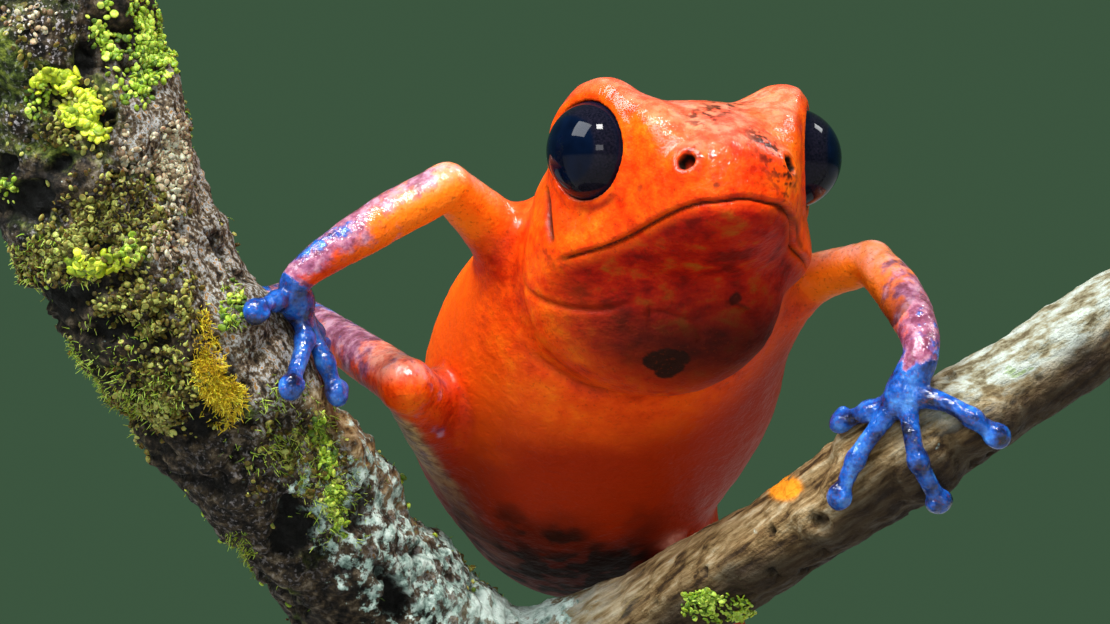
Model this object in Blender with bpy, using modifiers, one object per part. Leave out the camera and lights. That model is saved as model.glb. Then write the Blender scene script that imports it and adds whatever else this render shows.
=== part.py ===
"""Strawberry poison dart frog on a forked branch, life size, on a plain display stand.

The frog faces a viewer who looks along +Y, with +X to the viewer's right and +Z up.
It is drawn in millimetres and scaled to metres at the end. Pose points are measured
from the middle of the view: X to the right, Y away from the viewer, Z up.
"""

import math

import bmesh
import bpy
from mathutils import Matrix, Vector

# Driving dimensions, in millimetres
GAP = 0.3
HEAD_YAW = math.radians(20.0)
HEAD_PITCH = math.radians(14.0)
HEAD_ROLL = math.radians(-1.5)
EYE_RADIUS = 1.16
EYE_SPACING = 4.74
EYE_TO_SNOUT = 2.95
MOUTH_DROP = 1.86
MOUTH_CORNER_BACK = 1.1
MOUTH_CORNER_SIDE = 2.70
MOUTH_BEND = 0.45
MOUTH_BEND_START = 0.9
MOUTH_BEND_RUN = 1.7
MOUTH_GROOVE = 0.14
MOUTH_DEPTH = 0.35
NOSTRIL_SIDE = 1.17
NOSTRIL_DROP = 0.93
NOSTRIL_RADIUS = 0.15
LID_THICKNESS = 0.23
LID_ANGLE = math.radians(74.5)
EYE_TURN = math.radians(25.0)
LID_TILT = -0.085
FINGER_RADIUS = 0.27
DISC_RADIUS = 0.33
BASE_RADIUS = 13.0
BASE_THICKNESS = 2.0
ROD_RADIUS = 1.0

# The middle of the view, seen from the middle of the stand's underside
VIEW_MIDDLE = Vector((0.4, -8.2, 25.0))

# Fineness of the fused flesh, in millimetres and triangles
VOXEL = 0.14
SMOOTH_PASSES = 3
CORE_TRIANGLES = 4200
ARM_TRIANGLES = 900
LEG_TRIANGLES = 1000

HEAD_MIDDLE = Vector((3.19, 2.70, 3.59))

# Trunk: place of the spine, half width, half height, from the neck to the vent
TRUNK = [
    ((2.75, 4.4, 1.9), 2.6, 2.5),
    ((2.25, 6.0, 0.9), 3.45, 2.75),
    ((1.35, 8.2, -0.9), 4.15, 3.1),
    ((0.7, 10.4, -2.7), 3.95, 3.2),
    ((0.65, 12.4, -4.1), 3.25, 2.8),
    ((0.65, 14.2, -5.15), 2.35, 2.1),
    ((0.65, 15.3, -5.7), 1.2, 1.1),
]

# Head: distance in front of the eyes, half width, top and bottom above the eye line
HEAD = [
    (2.93, 0.55, -0.75, -1.95),
    (2.80, 0.95, -0.35, -2.25),
    (2.40, 1.42, 0.10, -2.50),
    (1.80, 1.85, 0.55, -2.70),
    (1.00, 2.22, 0.98, -2.90),
    (0.00, 2.62, 1.28, -3.10),
    (-1.20, 3.00, 1.38, -3.35),
    (-2.40, 3.15, 1.25, -3.60),
    (-3.40, 2.90, 0.95, -3.80),
]

# Where the head parts from the trunk
NECK_MIDDLE = Vector((2.38, 4.95, 1.25))
NECK_ACROSS = Vector((-0.22, 0.97, -0.02))
NECK_RADIUS = 5.0

# Arms: shoulder, upper arm, elbow, forearm and wrist
ARM_RIGHT = [Vector(p) for p in (
    (-0.2, 6.6, 0.7), (-1.75, 5.1, 2.25), (-2.48, 3.8, 2.90), (-4.1, 3.25, 2.0),
    (-5.80, 2.7, 0.85))]
ARM_LEFT = [Vector(p) for p in (
    (4.4, 7.0, -0.3), (6.0, 6.3, 0.75), (7.35, 5.2, 1.16), (7.95, 3.7, 0.35),
    (8.33, 1.9, -0.80))]
ARM_RIGHT_RADII = [1.0, 0.66, 0.53, 0.55, 0.38]
ARM_LEFT_RADII = [1.0, 0.60, 0.50, 0.55, 0.42]

# Legs: hip, knee and ankle
HIP_RIGHT = Vector((-1.2, 12.6, -4.2))
KNEE_RIGHT = Vector((-3.45, 5.6, -1.70))
ANKLE_RIGHT = Vector((-6.6, 11.3, 0.25))
HIP_LEFT = Vector((2.5, 13.0, -4.5))
KNEE_LEFT = Vector((4.2, 8.9, -9.3))
ANKLE_LEFT = Vector((1.2, 13.8, -9.5))
THIGH_RADII = [1.2, 1.08, 0.62]
SHANK_RADII = [0.61, 0.54, 0.42]

# Middle lines of the perch, from the tip down to the fork, and of the stem below it,
# with the radius at each point
LEFT_BRANCH_RADII = [2.35, 2.35, 2.25, 1.98, 1.88, 1.88, 1.95]
RIGHT_BRANCH_RADII = [0.98, 1.02, 1.12, 1.08, 1.15, 1.70]
STEM_RADII = [1.9, 2.1, 2.1, 2.05]
LEFT_BRANCH = [
    (-12.1, 2.2, 7.9), (-10.95, 2.6, 4.84), (-9.84, 3.1, 1.42),
    (-7.6, 4.2, -2.03), (-5.38, 6.6, -5.1), (-2.97, 9.2, -7.8), (-0.9, 10.7, -10.4),
]
RIGHT_BRANCH = [
    (13.3, 2.4, 0.27), (11.0, 2.7, -1.35), (8.25, 3.3, -3.12),
    (5.22, 5.2, -5.24), (2.24, 8.0, -7.16), (-0.36, 10.2, -8.75),
]
STEM = [(-1.4, 10.3, -9.2), (-0.85, 10.7, -11.2), (-0.7, 10.7, -14.0), (-0.7, 10.7, -17.0)]

# Cuts that part the branches from the stem: middle, direction across, radius
FORK_CUTS = [
    ((-2.4, 9.6, -8.6), (0.62, 0.62, -0.5), 3.4),
    ((1.35, 8.9, -7.75), (-0.68, 0.62, -0.45), 1.9),
]

# Heights over the bark of a digit's and a palm's middle
DIGIT_LIFT = GAP + FINGER_RADIUS + 0.12
PALM_LIFT = GAP + 0.5

# Palms and soles: place along their branch from 0 to 1, turn round it in degrees
PALM_RIGHT = (0.456, 75)
PALM_LEFT = (0.353, -44)
SOLE_RIGHT = (0.42, 186)
SOLE_LEFT = (0.50, 162)

# Fingers and toes, from the palm or sole to the disc, in the same measure
FINGERS_RIGHT = [
    [(0.440, 61), (0.432, 44)],
    [(0.470, 71), (0.482, 64), (0.497, 36)],
    [(0.485, 77), (0.508, 70), (0.530, 61)],
    [(0.482, 90), (0.503, 98), (0.521, 107)],
]
FINGERS_LEFT = [
    [(0.385, -48), (0.40, -51), (0.437, -60)],
    [(0.40, -32), (0.437, -21), (0.47, -5)],
    [(0.368, -19), (0.383, 7), (0.396, 46)],
    [(0.323, -19), (0.303, 1), (0.289, 23)],
]
TOES_RIGHT = [
    [(0.44, 190), (0.49, 196), (0.53, 200)],
    [(0.43, 194), (0.46, 204), (0.48, 210)],
    [(0.41, 194), (0.41, 206), (0.41, 214)],
    [(0.39, 194), (0.36, 204), (0.34, 210)],
    [(0.40, 188), (0.35, 194), (0.31, 198)],
]
TOES_LEFT = [
    [(0.56, 178), (0.62, 196), (0.67, 212)],
    [(0.60, 172), (0.68, 184), (0.75, 194)],
    [(0.62, 164), (0.72, 166), (0.82, 168)],
    [(0.60, 152), (0.69, 144), (0.78, 138)],
    [(0.56, 144), (0.62, 128), (0.67, 112)],
]


def clear_scene():
    """Removes everything that the file opens with."""
    for item in list(bpy.data.objects):
        bpy.data.objects.remove(item, do_unlink=True)


def make_collection(name):
    group = bpy.data.collections.new(name)
    bpy.context.scene.collection.children.link(group)
    return group


def make_material(name, colour, roughness, metallic=0.0):
    material = bpy.data.materials.new(name)
    material.use_nodes = True
    shader = material.node_tree.nodes["Principled BSDF"]
    shader.inputs["Base Color"].default_value = (*colour, 1.0)
    shader.inputs["Roughness"].default_value = roughness
    shader.inputs["Metallic"].default_value = metallic
    material.diffuse_color = (*colour, 1.0)
    return material


def add_object(name, mesh, group):
    item = bpy.data.objects.new(name, mesh)
    group.objects.link(item)
    return item


def mesh_of(bm, name):
    """Turns a bmesh into mesh data with its faces outward."""
    bmesh.ops.recalc_face_normals(bm, faces=bm.faces)
    mesh = bpy.data.meshes.new(name)
    bm.to_mesh(mesh)
    bm.free()
    return mesh


def evaluated_mesh(item):
    """The object's mesh with its modifiers applied, welded."""
    graph = bpy.context.evaluated_depsgraph_get()
    mesh = bpy.data.meshes.new_from_object(item.evaluated_get(graph))
    bm = bmesh.new()
    bm.from_mesh(mesh)
    bmesh.ops.remove_doubles(bm, verts=bm.verts, dist=1e-5)
    bm.to_mesh(mesh)
    bm.free()
    return mesh


def head_matrix():
    """Axes of the head: X forward to the snout, Y to the frog's left, Z up."""
    forward = Vector((math.sin(HEAD_YAW) * math.cos(HEAD_PITCH),
                      -math.cos(HEAD_YAW) * math.cos(HEAD_PITCH),
                      math.sin(HEAD_PITCH)))
    left = Vector((0, 0, 1)).cross(forward).normalized()
    left = Matrix.Rotation(HEAD_ROLL, 3, forward) @ left
    up = forward.cross(left).normalized()
    turn = Matrix((forward, left, up)).transposed().to_4x4()
    return Matrix.Translation(HEAD_MIDDLE) @ turn


def smooth_line(points, steps):
    """Points on a smooth curve through the given ones."""
    given = [Vector(p) for p in points]
    ends = [given[0] * 2 - given[1]] + given + [given[-1] * 2 - given[-2]]
    line = []
    for index in range(1, len(ends) - 2):
        a, b, c, d = ends[index - 1:index + 3]
        for step in range(steps):
            t = step / steps
            line.append(0.5 * ((2 * b) + (c - a) * t + (2 * a - 5 * b + 4 * c - d) * t * t
                               + (3 * b - a - 3 * c + d) * t * t * t))
    line.append(given[-1])
    return line


def smooth_values(values, steps):
    """Values of a smooth curve through the given ones, one for each point of smooth_line."""
    return [v.x for v in smooth_line([(value, 0, 0) for value in values], steps)]


def tube(name, points, radii, group, sides=3, steps=4, round_ends=True):
    """A tapering tube along a smooth curve, with ball ends if asked."""
    line = smooth_line(points, steps)
    widths = smooth_values(radii, steps)
    curve = bpy.data.curves.new(name, "CURVE")
    curve.dimensions = "3D"
    curve.bevel_depth = 1.0
    curve.bevel_resolution = sides
    curve.use_fill_caps = True
    spline = curve.splines.new("POLY")
    spline.points.add(len(line) - 1)
    for point, place, width in zip(spline.points, line, widths):
        point.co = (*place, 1.0)
        point.radius = width
    wire = add_object(name, curve, group)
    mesh = evaluated_mesh(wire)
    bpy.data.objects.remove(wire, do_unlink=True)
    item = add_object(name, mesh, group)
    if round_ends:
        ball(name + "_start", line[0], (widths[0],) * 3, group)
        ball(name + "_end", line[-1], (widths[-1],) * 3, group)
    return item


def ball(name, middle, radii, group, turn=None, rings=12):
    """An ellipsoid."""
    bm = bmesh.new()
    bmesh.ops.create_uvsphere(bm, u_segments=2 * rings, v_segments=rings, radius=1.0)
    place = Matrix.Translation(middle) @ (turn.to_4x4() if turn else Matrix.Identity(4))
    bmesh.ops.transform(bm, matrix=place @ Matrix.Diagonal((*radii, 1.0)), verts=bm.verts)
    return add_object(name, mesh_of(bm, name), group)


def disc(name, middle, direction, radius, thickness, group, sides=32):
    """A flat round plate across a direction."""
    bm = bmesh.new()
    bmesh.ops.create_cone(bm, cap_ends=True, segments=sides, radius1=radius, radius2=radius,
                          depth=thickness)
    turn = Vector(direction).to_track_quat("Z", "Y").to_matrix().to_4x4()
    bmesh.ops.transform(bm, matrix=Matrix.Translation(middle) @ turn, verts=bm.verts)
    return add_object(name, mesh_of(bm, name), group)


def loft(name, rings, group):
    """A closed skin over rings of equally many points, with a flat cap at each end."""
    bm = bmesh.new()
    rows = [[bm.verts.new(p) for p in ring] for ring in rings]
    count = len(rows[0])
    for first, second in zip(rows, rows[1:]):
        for i in range(count):
            j = (i + 1) % count
            bm.faces.new((first[i], first[j], second[j], second[i]))
    bm.faces.new(rows[0])
    bm.faces.new(rows[-1])
    return add_object(name, mesh_of(bm, name), group)


def oval(angle, half_width, top, bottom, fullness):
    """A point of a rounded section, fuller than an ellipse where fullness is over 1."""
    c = math.cos(angle)
    s = math.sin(angle)
    power = 2.0 / (2.0 * fullness)
    x = math.copysign(abs(c) ** power, c) * half_width
    height = (top - bottom) / 2
    z = math.copysign(abs(s) ** power, s) * height + (top + bottom) / 2
    return x, z


def add_trunk(group):
    """Trunk: oval sections across a bent spine, wider and flatter at the belly."""
    steps = 3
    line = smooth_line([row[0] for row in TRUNK], steps)
    widths = smooth_values([row[1] for row in TRUNK], steps)
    heights = smooth_values([row[2] for row in TRUNK], steps)
    rings = []
    for index, place in enumerate(line):
        ahead = line[min(index + 1, len(line) - 1)]
        behind = line[max(index - 1, 0)]
        along = (ahead - behind).normalized()
        side = Vector((1, 0, 0)) - along * along.x
        side.normalize()
        up = side.cross(along).normalized()
        ring = []
        for k in range(28):
            x, z = oval(2 * math.pi * k / 28, widths[index], heights[index],
                        -heights[index], 1.06)
            ring.append(place + side * x + up * z)
        rings.append(ring)
    loft("trunk", rings, group)


def add_head(group):
    """Head: sections from the blunt snout to the nape, eye bumps, lids and throat."""
    frame = head_matrix()
    rings = []
    for ahead, half_width, top, bottom in HEAD:
        ring = []
        for k in range(28):
            y, z = oval(2 * math.pi * k / 28, half_width, top, bottom, 1.12)
            ring.append(frame @ Vector((ahead, y, z)))
        rings.append(ring)
    loft("skull", rings, group)
    turn = frame.to_3x3()
    for side in (-1, 1):
        eye = frame @ Vector((0, side * EYE_SPACING / 2, 0))
        ball("brow", frame @ Vector((-0.15, side * 2.15, 0.35)), (1.55, 1.1, 1.38), group, turn)
        ball("orbit", eye + turn @ Vector((-0.05, -side * 0.25, -0.05)), (1.45, 0.95, 1.42),
             group, turn)
        ball("canthus", frame @ Vector((1.0, side * 1.45, -0.1)), (1.05, 0.75, 0.95), group, turn)
        outward = Vector((math.sin(EYE_TURN), side * math.cos(EYE_TURN), LID_TILT))
        add_lid("lid", eye, turn @ outward, group)
        ball("cheek", frame @ Vector((-1.35, side * 2.2, -1.75)), (1.5, 1.0, 1.0), group, turn)
    ball("throat", Vector((2.25, 3.75, 0.55)), (3.0, 1.9, 2.55), group,
         Matrix.Rotation(-HEAD_YAW * 0.6, 3, "Z") @ Matrix.Rotation(math.radians(18), 3, "X"))


def add_lid(name, eye, outward, group):
    """The rounded rim of skin that stands round an eye."""
    reach = EYE_RADIUS + GAP + LID_THICKNESS / 3
    rim_drop = reach * math.cos(LID_ANGLE)
    rim_radius = reach * math.sin(LID_ANGLE)
    turn = outward.normalized().to_track_quat("Z", "Y").to_matrix()
    points = []
    for k in range(25):
        angle = 2 * math.pi * k / 24
        flat = Vector((math.cos(angle), math.sin(angle), 0)) * rim_radius
        points.append(eye + turn @ (flat + Vector((0, 0, rim_drop))))
    tube(name, points, [LID_THICKNESS] * 25, group, sides=2, steps=1, round_ends=False)


def branch_point(branch, along, turn_degrees, lift):
    """A point over a branch: 0 degrees faces the viewer, 90 its right, lift from the bark."""
    line, radii = branch
    place = along * (len(line) - 1)
    index = min(int(place), len(line) - 2)
    t = place - index
    middle = line[index].lerp(line[index + 1], t)
    axis = (line[index + 1] - line[index]).normalized()
    front = Vector((0, -1, 0)) + axis * axis.y
    front.normalize()
    side = front.cross(axis).normalized()
    angle = math.radians(turn_degrees)
    reach = radii[index] + (radii[index + 1] - radii[index]) * t + lift
    return middle + (front * math.cos(angle) + side * math.sin(angle)) * reach


def add_digits(name, root, branch, tracks, group):
    """Fingers or toes that run from the palm over the branch to a disc at each tip."""
    for number, track in enumerate(tracks):
        points = [root]
        for along, turn in track:
            points.append(branch_point(branch, along, turn, DIGIT_LIFT))
        count = len(points)
        widths = [FINGER_RADIUS * 1.2] + [FINGER_RADIUS] * (count - 1)
        tube(f"{name}_{number}", points, widths, group, sides=2, steps=3)
        tip = points[-1]
        middle = branch_point(branch, *track[-1], 0.0)
        outward = (tip - middle).normalized()
        turn = outward.to_track_quat("Z", "Y").to_matrix()
        ball(f"{name}_disc_{number}", tip, (DISC_RADIUS, DISC_RADIUS, FINGER_RADIUS), group,
             turn, rings=8)


def add_arm(points, radii, palm, branch, fingers, group):
    """An arm from inside the trunk to the discs of the fingers."""
    tube("arm", points, radii, group)
    tube("palm", [points[-1], palm], [radii[-1], radii[-1] * 1.05], group, steps=3)
    add_digits("finger", palm, branch, fingers, group)


def add_leg(hip, knee, ankle, sole, branch, toes, group):
    """A leg from inside the trunk to the discs of the toes."""
    tube("thigh", [hip, hip.lerp(knee, 0.5), knee], THIGH_RADII, group)
    tube("shank", [knee, knee.lerp(ankle, 0.45), ankle], SHANK_RADII, group)
    tube("tarsus", [ankle, ankle.lerp(sole, 0.5) + Vector((0, 0.2, 0)), sole],
         [SHANK_RADII[-1], 0.42, 0.42], group, steps=3)
    add_digits("toe", sole, branch, toes, group)


def join_pieces(group, name, target):
    """One mesh of all the group's pieces."""
    bm = bmesh.new()
    for item in list(group.objects):
        bm.from_mesh(item.data)
        bpy.data.objects.remove(item, do_unlink=True)
    mesh = bpy.data.meshes.new(name)
    bm.to_mesh(mesh)
    bm.free()
    return add_object(name, mesh, target)


def fuse_flesh(item, triangles):
    """Fuses overlapping forms to one smooth skin of a modest number of triangles."""
    remesh = item.modifiers.new("Remesh", "REMESH")
    remesh.mode = "VOXEL"
    remesh.voxel_size = VOXEL
    smooth = item.modifiers.new("Smooth", "SMOOTH")
    smooth.iterations = SMOOTH_PASSES
    smooth.factor = 0.5
    apply_modifiers(item)
    thin = item.modifiers.new("Decimate", "DECIMATE")
    thin.ratio = triangles / (2 * len(item.data.polygons))
    thin.use_collapse_triangulate = True
    apply_modifiers(item)


def apply_modifiers(item):
    mesh = evaluated_mesh(item)
    item.modifiers.clear()
    item.data = mesh


def cut(item, cutter, operation="DIFFERENCE"):
    boolean = item.modifiers.new("Cut", "BOOLEAN")
    boolean.operation = operation
    boolean.solver = "EXACT"
    boolean.object = cutter
    apply_modifiers(item)


def mouth_cutter(group):
    """A thin curved blade along the line of the mouth, from corner to corner."""
    frame = head_matrix()
    inner = []
    outer = []
    for k in range(21):
        t = -1 + 2 * k / 20
        ahead = EYE_TO_SNOUT - (EYE_TO_SNOUT + MOUTH_CORNER_BACK) * abs(t) ** 2.6
        side = MOUTH_CORNER_SIDE * math.copysign(abs(t) ** 0.8, t)
        bend = min(max((abs(side) - MOUTH_BEND_START) / MOUTH_BEND_RUN, 0.0), 1.0)
        drop = -MOUTH_DROP - MOUTH_BEND * bend * bend * (3 - 2 * bend)
        inner.append(Vector((ahead - 0.35 - MOUTH_DEPTH, side * 0.72, drop)))
        outer.append(Vector((ahead + 0.6, side * 1.35, drop)))
    bm = bmesh.new()
    rows = []
    for rise in (-MOUTH_GROOVE / 2, MOUTH_GROOVE / 2):
        lift = Vector((0, 0, rise))
        rows.append([bm.verts.new(frame @ (p + lift)) for p in inner])
        rows.append([bm.verts.new(frame @ (p + lift)) for p in outer])
    low_in, low_out, high_in, high_out = rows
    for i in range(20):
        bm.faces.new((low_in[i], low_out[i], low_out[i + 1], low_in[i + 1]))
        bm.faces.new((high_in[i], high_in[i + 1], high_out[i + 1], high_out[i]))
        bm.faces.new((low_out[i], high_out[i], high_out[i + 1], low_out[i + 1]))
        bm.faces.new((low_in[i], low_in[i + 1], high_in[i + 1], high_in[i]))
    for i in (0, 20):
        bm.faces.new((low_in[i], low_out[i], high_out[i], high_in[i]))
    return add_object("mouth_cutter", mesh_of(bm, "mouth_cutter"), group)


def shape_face(flesh, cutters):
    """Cuts the eye sockets, the nostrils and the line of the mouth."""
    frame = head_matrix()
    for side in (-1, 1):
        eye = frame @ Vector((0, side * EYE_SPACING / 2, 0))
        cut(flesh, ball("socket_cutter", eye, (EYE_RADIUS + GAP,) * 3, cutters, rings=9))
        nostril = frame @ Vector((EYE_TO_SNOUT - 0.55, side * NOSTRIL_SIDE, -NOSTRIL_DROP))
        lean = frame.to_3x3() @ Vector((1.0, side * 0.9, 0.2))
        cut(flesh, disc("nostril_cutter", nostril, lean, NOSTRIL_RADIUS, 0.9, cutters, sides=8))
    cut(flesh, mouth_cutter(cutters))


def separate_closed(item, group):
    """Splits an object into its closed pieces."""
    bm = bmesh.new()
    bm.from_mesh(item.data)
    left = set(bm.verts)
    pieces = []
    while left:
        seed = left.pop()
        found = {seed}
        stack = [seed]
        while stack:
            vert = stack.pop()
            for edge in vert.link_edges:
                other = edge.other_vert(vert)
                if other not in found:
                    found.add(other)
                    stack.append(other)
        left -= found
        pieces.append(found)
    result = []
    for number, found in enumerate(sorted(pieces, key=len, reverse=True)):
        piece = bmesh.new()
        table = {}
        for vert in sorted(found, key=lambda v: v.index):
            table[vert] = piece.verts.new(vert.co)
        for face in bm.faces:
            if face.verts[0] in found:
                piece.faces.new([table[v] for v in face.verts])
        name = f"{item.name}_{number}"
        mesh = bpy.data.meshes.new(name)
        piece.to_mesh(mesh)
        piece.free()
        result.append(add_object(name, mesh, group))
    bm.free()
    bpy.data.objects.remove(item, do_unlink=True)
    return result


def middle_of(item):
    total = Vector()
    for vert in item.data.vertices:
        total += vert.co
    return total / len(item.data.vertices)


def name_pieces(pieces, places, smallest=20):
    """Gives each piece the name of the nearest named place and drops loose scraps."""
    named = {}
    for item in sorted(pieces, key=lambda p: -len(p.data.vertices)):
        middle = middle_of(item)
        name = min(places, key=lambda key: (Vector(places[key]) - middle).length)
        if name in named or len(item.data.vertices) < smallest:
            bpy.data.objects.remove(item, do_unlink=True)
            continue
        item.name = name
        named[name] = item
    return named


def part_limb(limb, cuts, places, group, cutters):
    """Parts a limb at its joints and names the pieces."""
    for middle, across, radius in cuts:
        cut(limb, disc("joint_cutter", middle, across, radius, GAP, cutters))
    return name_pieces(separate_closed(limb, group), places)


def make_limbs(group, work, cutters, branches):
    """Arms and legs, each fused and parted at its joints."""
    left_branch, right_branch, stem = branches
    nodes = {}
    for side, points, radii, place, branch, fingers in (
            ("right", ARM_RIGHT, ARM_RIGHT_RADII, PALM_RIGHT, left_branch, FINGERS_RIGHT),
            ("left", ARM_LEFT, ARM_LEFT_RADII, PALM_LEFT, right_branch, FINGERS_LEFT)):
        palm = branch_point(branch, *place, PALM_LIFT)
        add_arm(points, radii, palm, branch, fingers, work)
        limb = join_pieces(work, f"arm_{side}", group)
        fuse_flesh(limb, ARM_TRIANGLES)
        shoulder, above, elbow, below, wrist = points
        upper = (elbow - above).normalized()
        lower = (below - elbow).normalized()
        nodes.update(part_limb(
            limb,
            [(elbow, upper + lower, 1.2), (wrist, wrist - below, 0.8)],
            {f"upper_arm_{side}": shoulder.lerp(elbow, 0.5),
             f"forearm_{side}": elbow.lerp(wrist, 0.5),
             f"hand_{side}": palm.lerp(branch_point(branch, *fingers[1][-1], 0.0), 0.5)},
            group, cutters))
    for side, hip, knee, ankle, place, branch, toes in (
            ("right", HIP_RIGHT, KNEE_RIGHT, ANKLE_RIGHT, SOLE_RIGHT, left_branch, TOES_RIGHT),
            ("left", HIP_LEFT, KNEE_LEFT, ANKLE_LEFT, SOLE_LEFT, stem, TOES_LEFT)):
        sole = branch_point(branch, *place, PALM_LIFT)
        add_leg(hip, knee, ankle, sole, branch, toes, work)
        limb = join_pieces(work, f"leg_{side}", group)
        fuse_flesh(limb, LEG_TRIANGLES)
        upper = (knee - hip).normalized()
        lower = (ankle - knee).normalized()
        nodes.update(part_limb(
            limb,
            [(knee, upper + lower, 3.0), (ankle - lower * 0.7, lower, 1.0)],
            {f"thigh_{side}": hip.lerp(knee, 0.5), f"shank_{side}": knee.lerp(ankle, 0.5),
             f"foot_{side}": ankle.lerp(sole, 0.7)},
            group, cutters))
    return nodes


def seat_limb(core, points, radii, cutters):
    """Cuts the seat of a limb's root in the trunk, wider than the limb by the gap."""
    seat = tube("seat", points, [r + GAP for r in radii], cutters)
    balls = [item for item in cutters.objects if item.name.startswith("seat_")]
    for item in balls:
        cut(seat, item, "UNION")
        bpy.data.objects.remove(item, do_unlink=True)
    seat.name = "limb_seat_cutter"
    cut(core, seat)


def add_frog(group, work, cutters, branches):
    """The frog's flesh, parted at its joints, and its eyes."""
    nodes = make_limbs(group, work, cutters, branches)
    add_trunk(work)
    add_head(work)
    core = join_pieces(work, "core", group)
    fuse_flesh(core, CORE_TRIANGLES)
    shape_face(core, cutters)
    seat_limb(core, ARM_RIGHT[:3], ARM_RIGHT_RADII[:3], cutters)
    seat_limb(core, ARM_LEFT[:3], ARM_LEFT_RADII[:3], cutters)
    for hip, knee in ((HIP_RIGHT, KNEE_RIGHT), (HIP_LEFT, KNEE_LEFT)):
        seat_limb(core, [hip, hip.lerp(knee, 0.5), knee], THIGH_RADII, cutters)
    cut(core, disc("neck_cutter", NECK_MIDDLE, NECK_ACROSS, NECK_RADIUS, GAP, cutters, sides=48))
    places = {"head": HEAD_MIDDLE, "torso": TRUNK[3][0]}
    nodes.update(name_pieces(separate_closed(core, group), places))
    frame = head_matrix()
    for side, name in ((-1, "eye_right"), (1, "eye_left")):
        eye = frame @ Vector((0, side * EYE_SPACING / 2, 0))
        nodes[name] = ball(name, eye, (EYE_RADIUS,) * 3, group, rings=10)
    return nodes


def add_perch(group, cutters, branches):
    """The forked branch in three lengths that meet face to face at the fork."""
    names = ("perch_left_branch", "perch_right_branch", "perch_stem")
    perch = None
    for line, radii in branches:
        piece = tube("perch_piece", line, radii, group, sides=4, steps=1, round_ends=False)
        if perch is None:
            perch = piece
            continue
        cut(perch, piece, "UNION")
        bpy.data.objects.remove(piece, do_unlink=True)
    for middle, across, radius in FORK_CUTS:
        cut(perch, disc("fork_cutter", middle, across, radius, GAP, cutters))
    places = {name: branch[0][len(branch[0]) // 2] for name, branch in zip(names, branches)}
    return name_pieces(separate_closed(perch, group), places)


def add_stand(group, stem):
    """The flat round base and the rod up to the cut end of the stem."""
    foot = Vector((0, 0, 0)) - VIEW_MIDDLE
    stem_end = stem[0][-1]
    base = disc("stand_base", foot + Vector((0, 0, BASE_THICKNESS / 2)), (0, 0, 1),
                BASE_RADIUS, BASE_THICKNESS, group, sides=64)
    low = foot.z + BASE_THICKNESS + GAP
    high = stem_end.z - GAP
    rod = disc("stand_rod", (stem_end.x, stem_end.y, (low + high) / 2), (0, 0, 1),
               ROD_RADIUS, high - low, group, sides=24)
    return {"stand_base": base, "stand_rod": rod}


def to_metres(item):
    """Moves a finished node to the stand's frame and scales it to metres."""
    item.data.transform(Matrix.Scale(0.001, 4) @ Matrix.Translation(VIEW_MIDDLE))
    item.data.shade_smooth()
    item.data.set_sharp_from_angle(angle=math.radians(45))


def main():
    clear_scene()
    group = make_collection("strawberry_poison_dart_frog")
    cutters = make_collection("cutters")
    work = make_collection("pieces")
    branches = [(smooth_line(line, 3), smooth_values(radii, 3)) for line, radii in (
        (LEFT_BRANCH, LEFT_BRANCH_RADII), (RIGHT_BRANCH, RIGHT_BRANCH_RADII),
        (STEM, STEM_RADII))]
    nodes = add_frog(group, work, cutters, branches)
    nodes.update(add_perch(group, cutters, branches))
    nodes.update(add_stand(group, branches[2]))
    colours = {
        "head": ((0.85, 0.12, 0.02), 0.32), "torso": ((0.78, 0.08, 0.01), 0.35),
        "eye": ((0.01, 0.012, 0.02), 0.06), "upper_arm": ((0.80, 0.12, 0.03), 0.35),
        "forearm": ((0.62, 0.12, 0.10), 0.32), "hand": ((0.06, 0.12, 0.55), 0.28),
        "thigh": ((0.72, 0.09, 0.03), 0.35), "shank": ((0.42, 0.14, 0.22), 0.35),
        "foot": ((0.08, 0.12, 0.45), 0.3), "perch": ((0.24, 0.17, 0.11), 0.85),
        "stand": ((0.05, 0.05, 0.05), 0.4),
    }
    for name, item in nodes.items():
        key = next(word for word in colours if name.startswith(word))
        colour, roughness = colours[key]
        item.data.materials.clear()
        item.data.materials.append(make_material(name, colour, roughness))
        to_metres(item)
    for item in cutters.objects:
        item.data.transform(Matrix.Scale(0.001, 4) @ Matrix.Translation(VIEW_MIDDLE))
        item.hide_render = True
        item.display_type = "WIRE"
    bpy.data.collections.remove(work)


main()
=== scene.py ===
"""Strawberry poison dart frog on a forked branch: the looks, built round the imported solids.

Everything is modelled in millimetres in the pose frame: X to the viewer's right, Y away
from the viewer, Z up, from the middle of the view. Meshes are moved to the stand's frame
and scaled to metres when they are made.
"""

import math

import bmesh
import bpy
import numpy as np
from mathutils import Matrix, Vector


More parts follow.
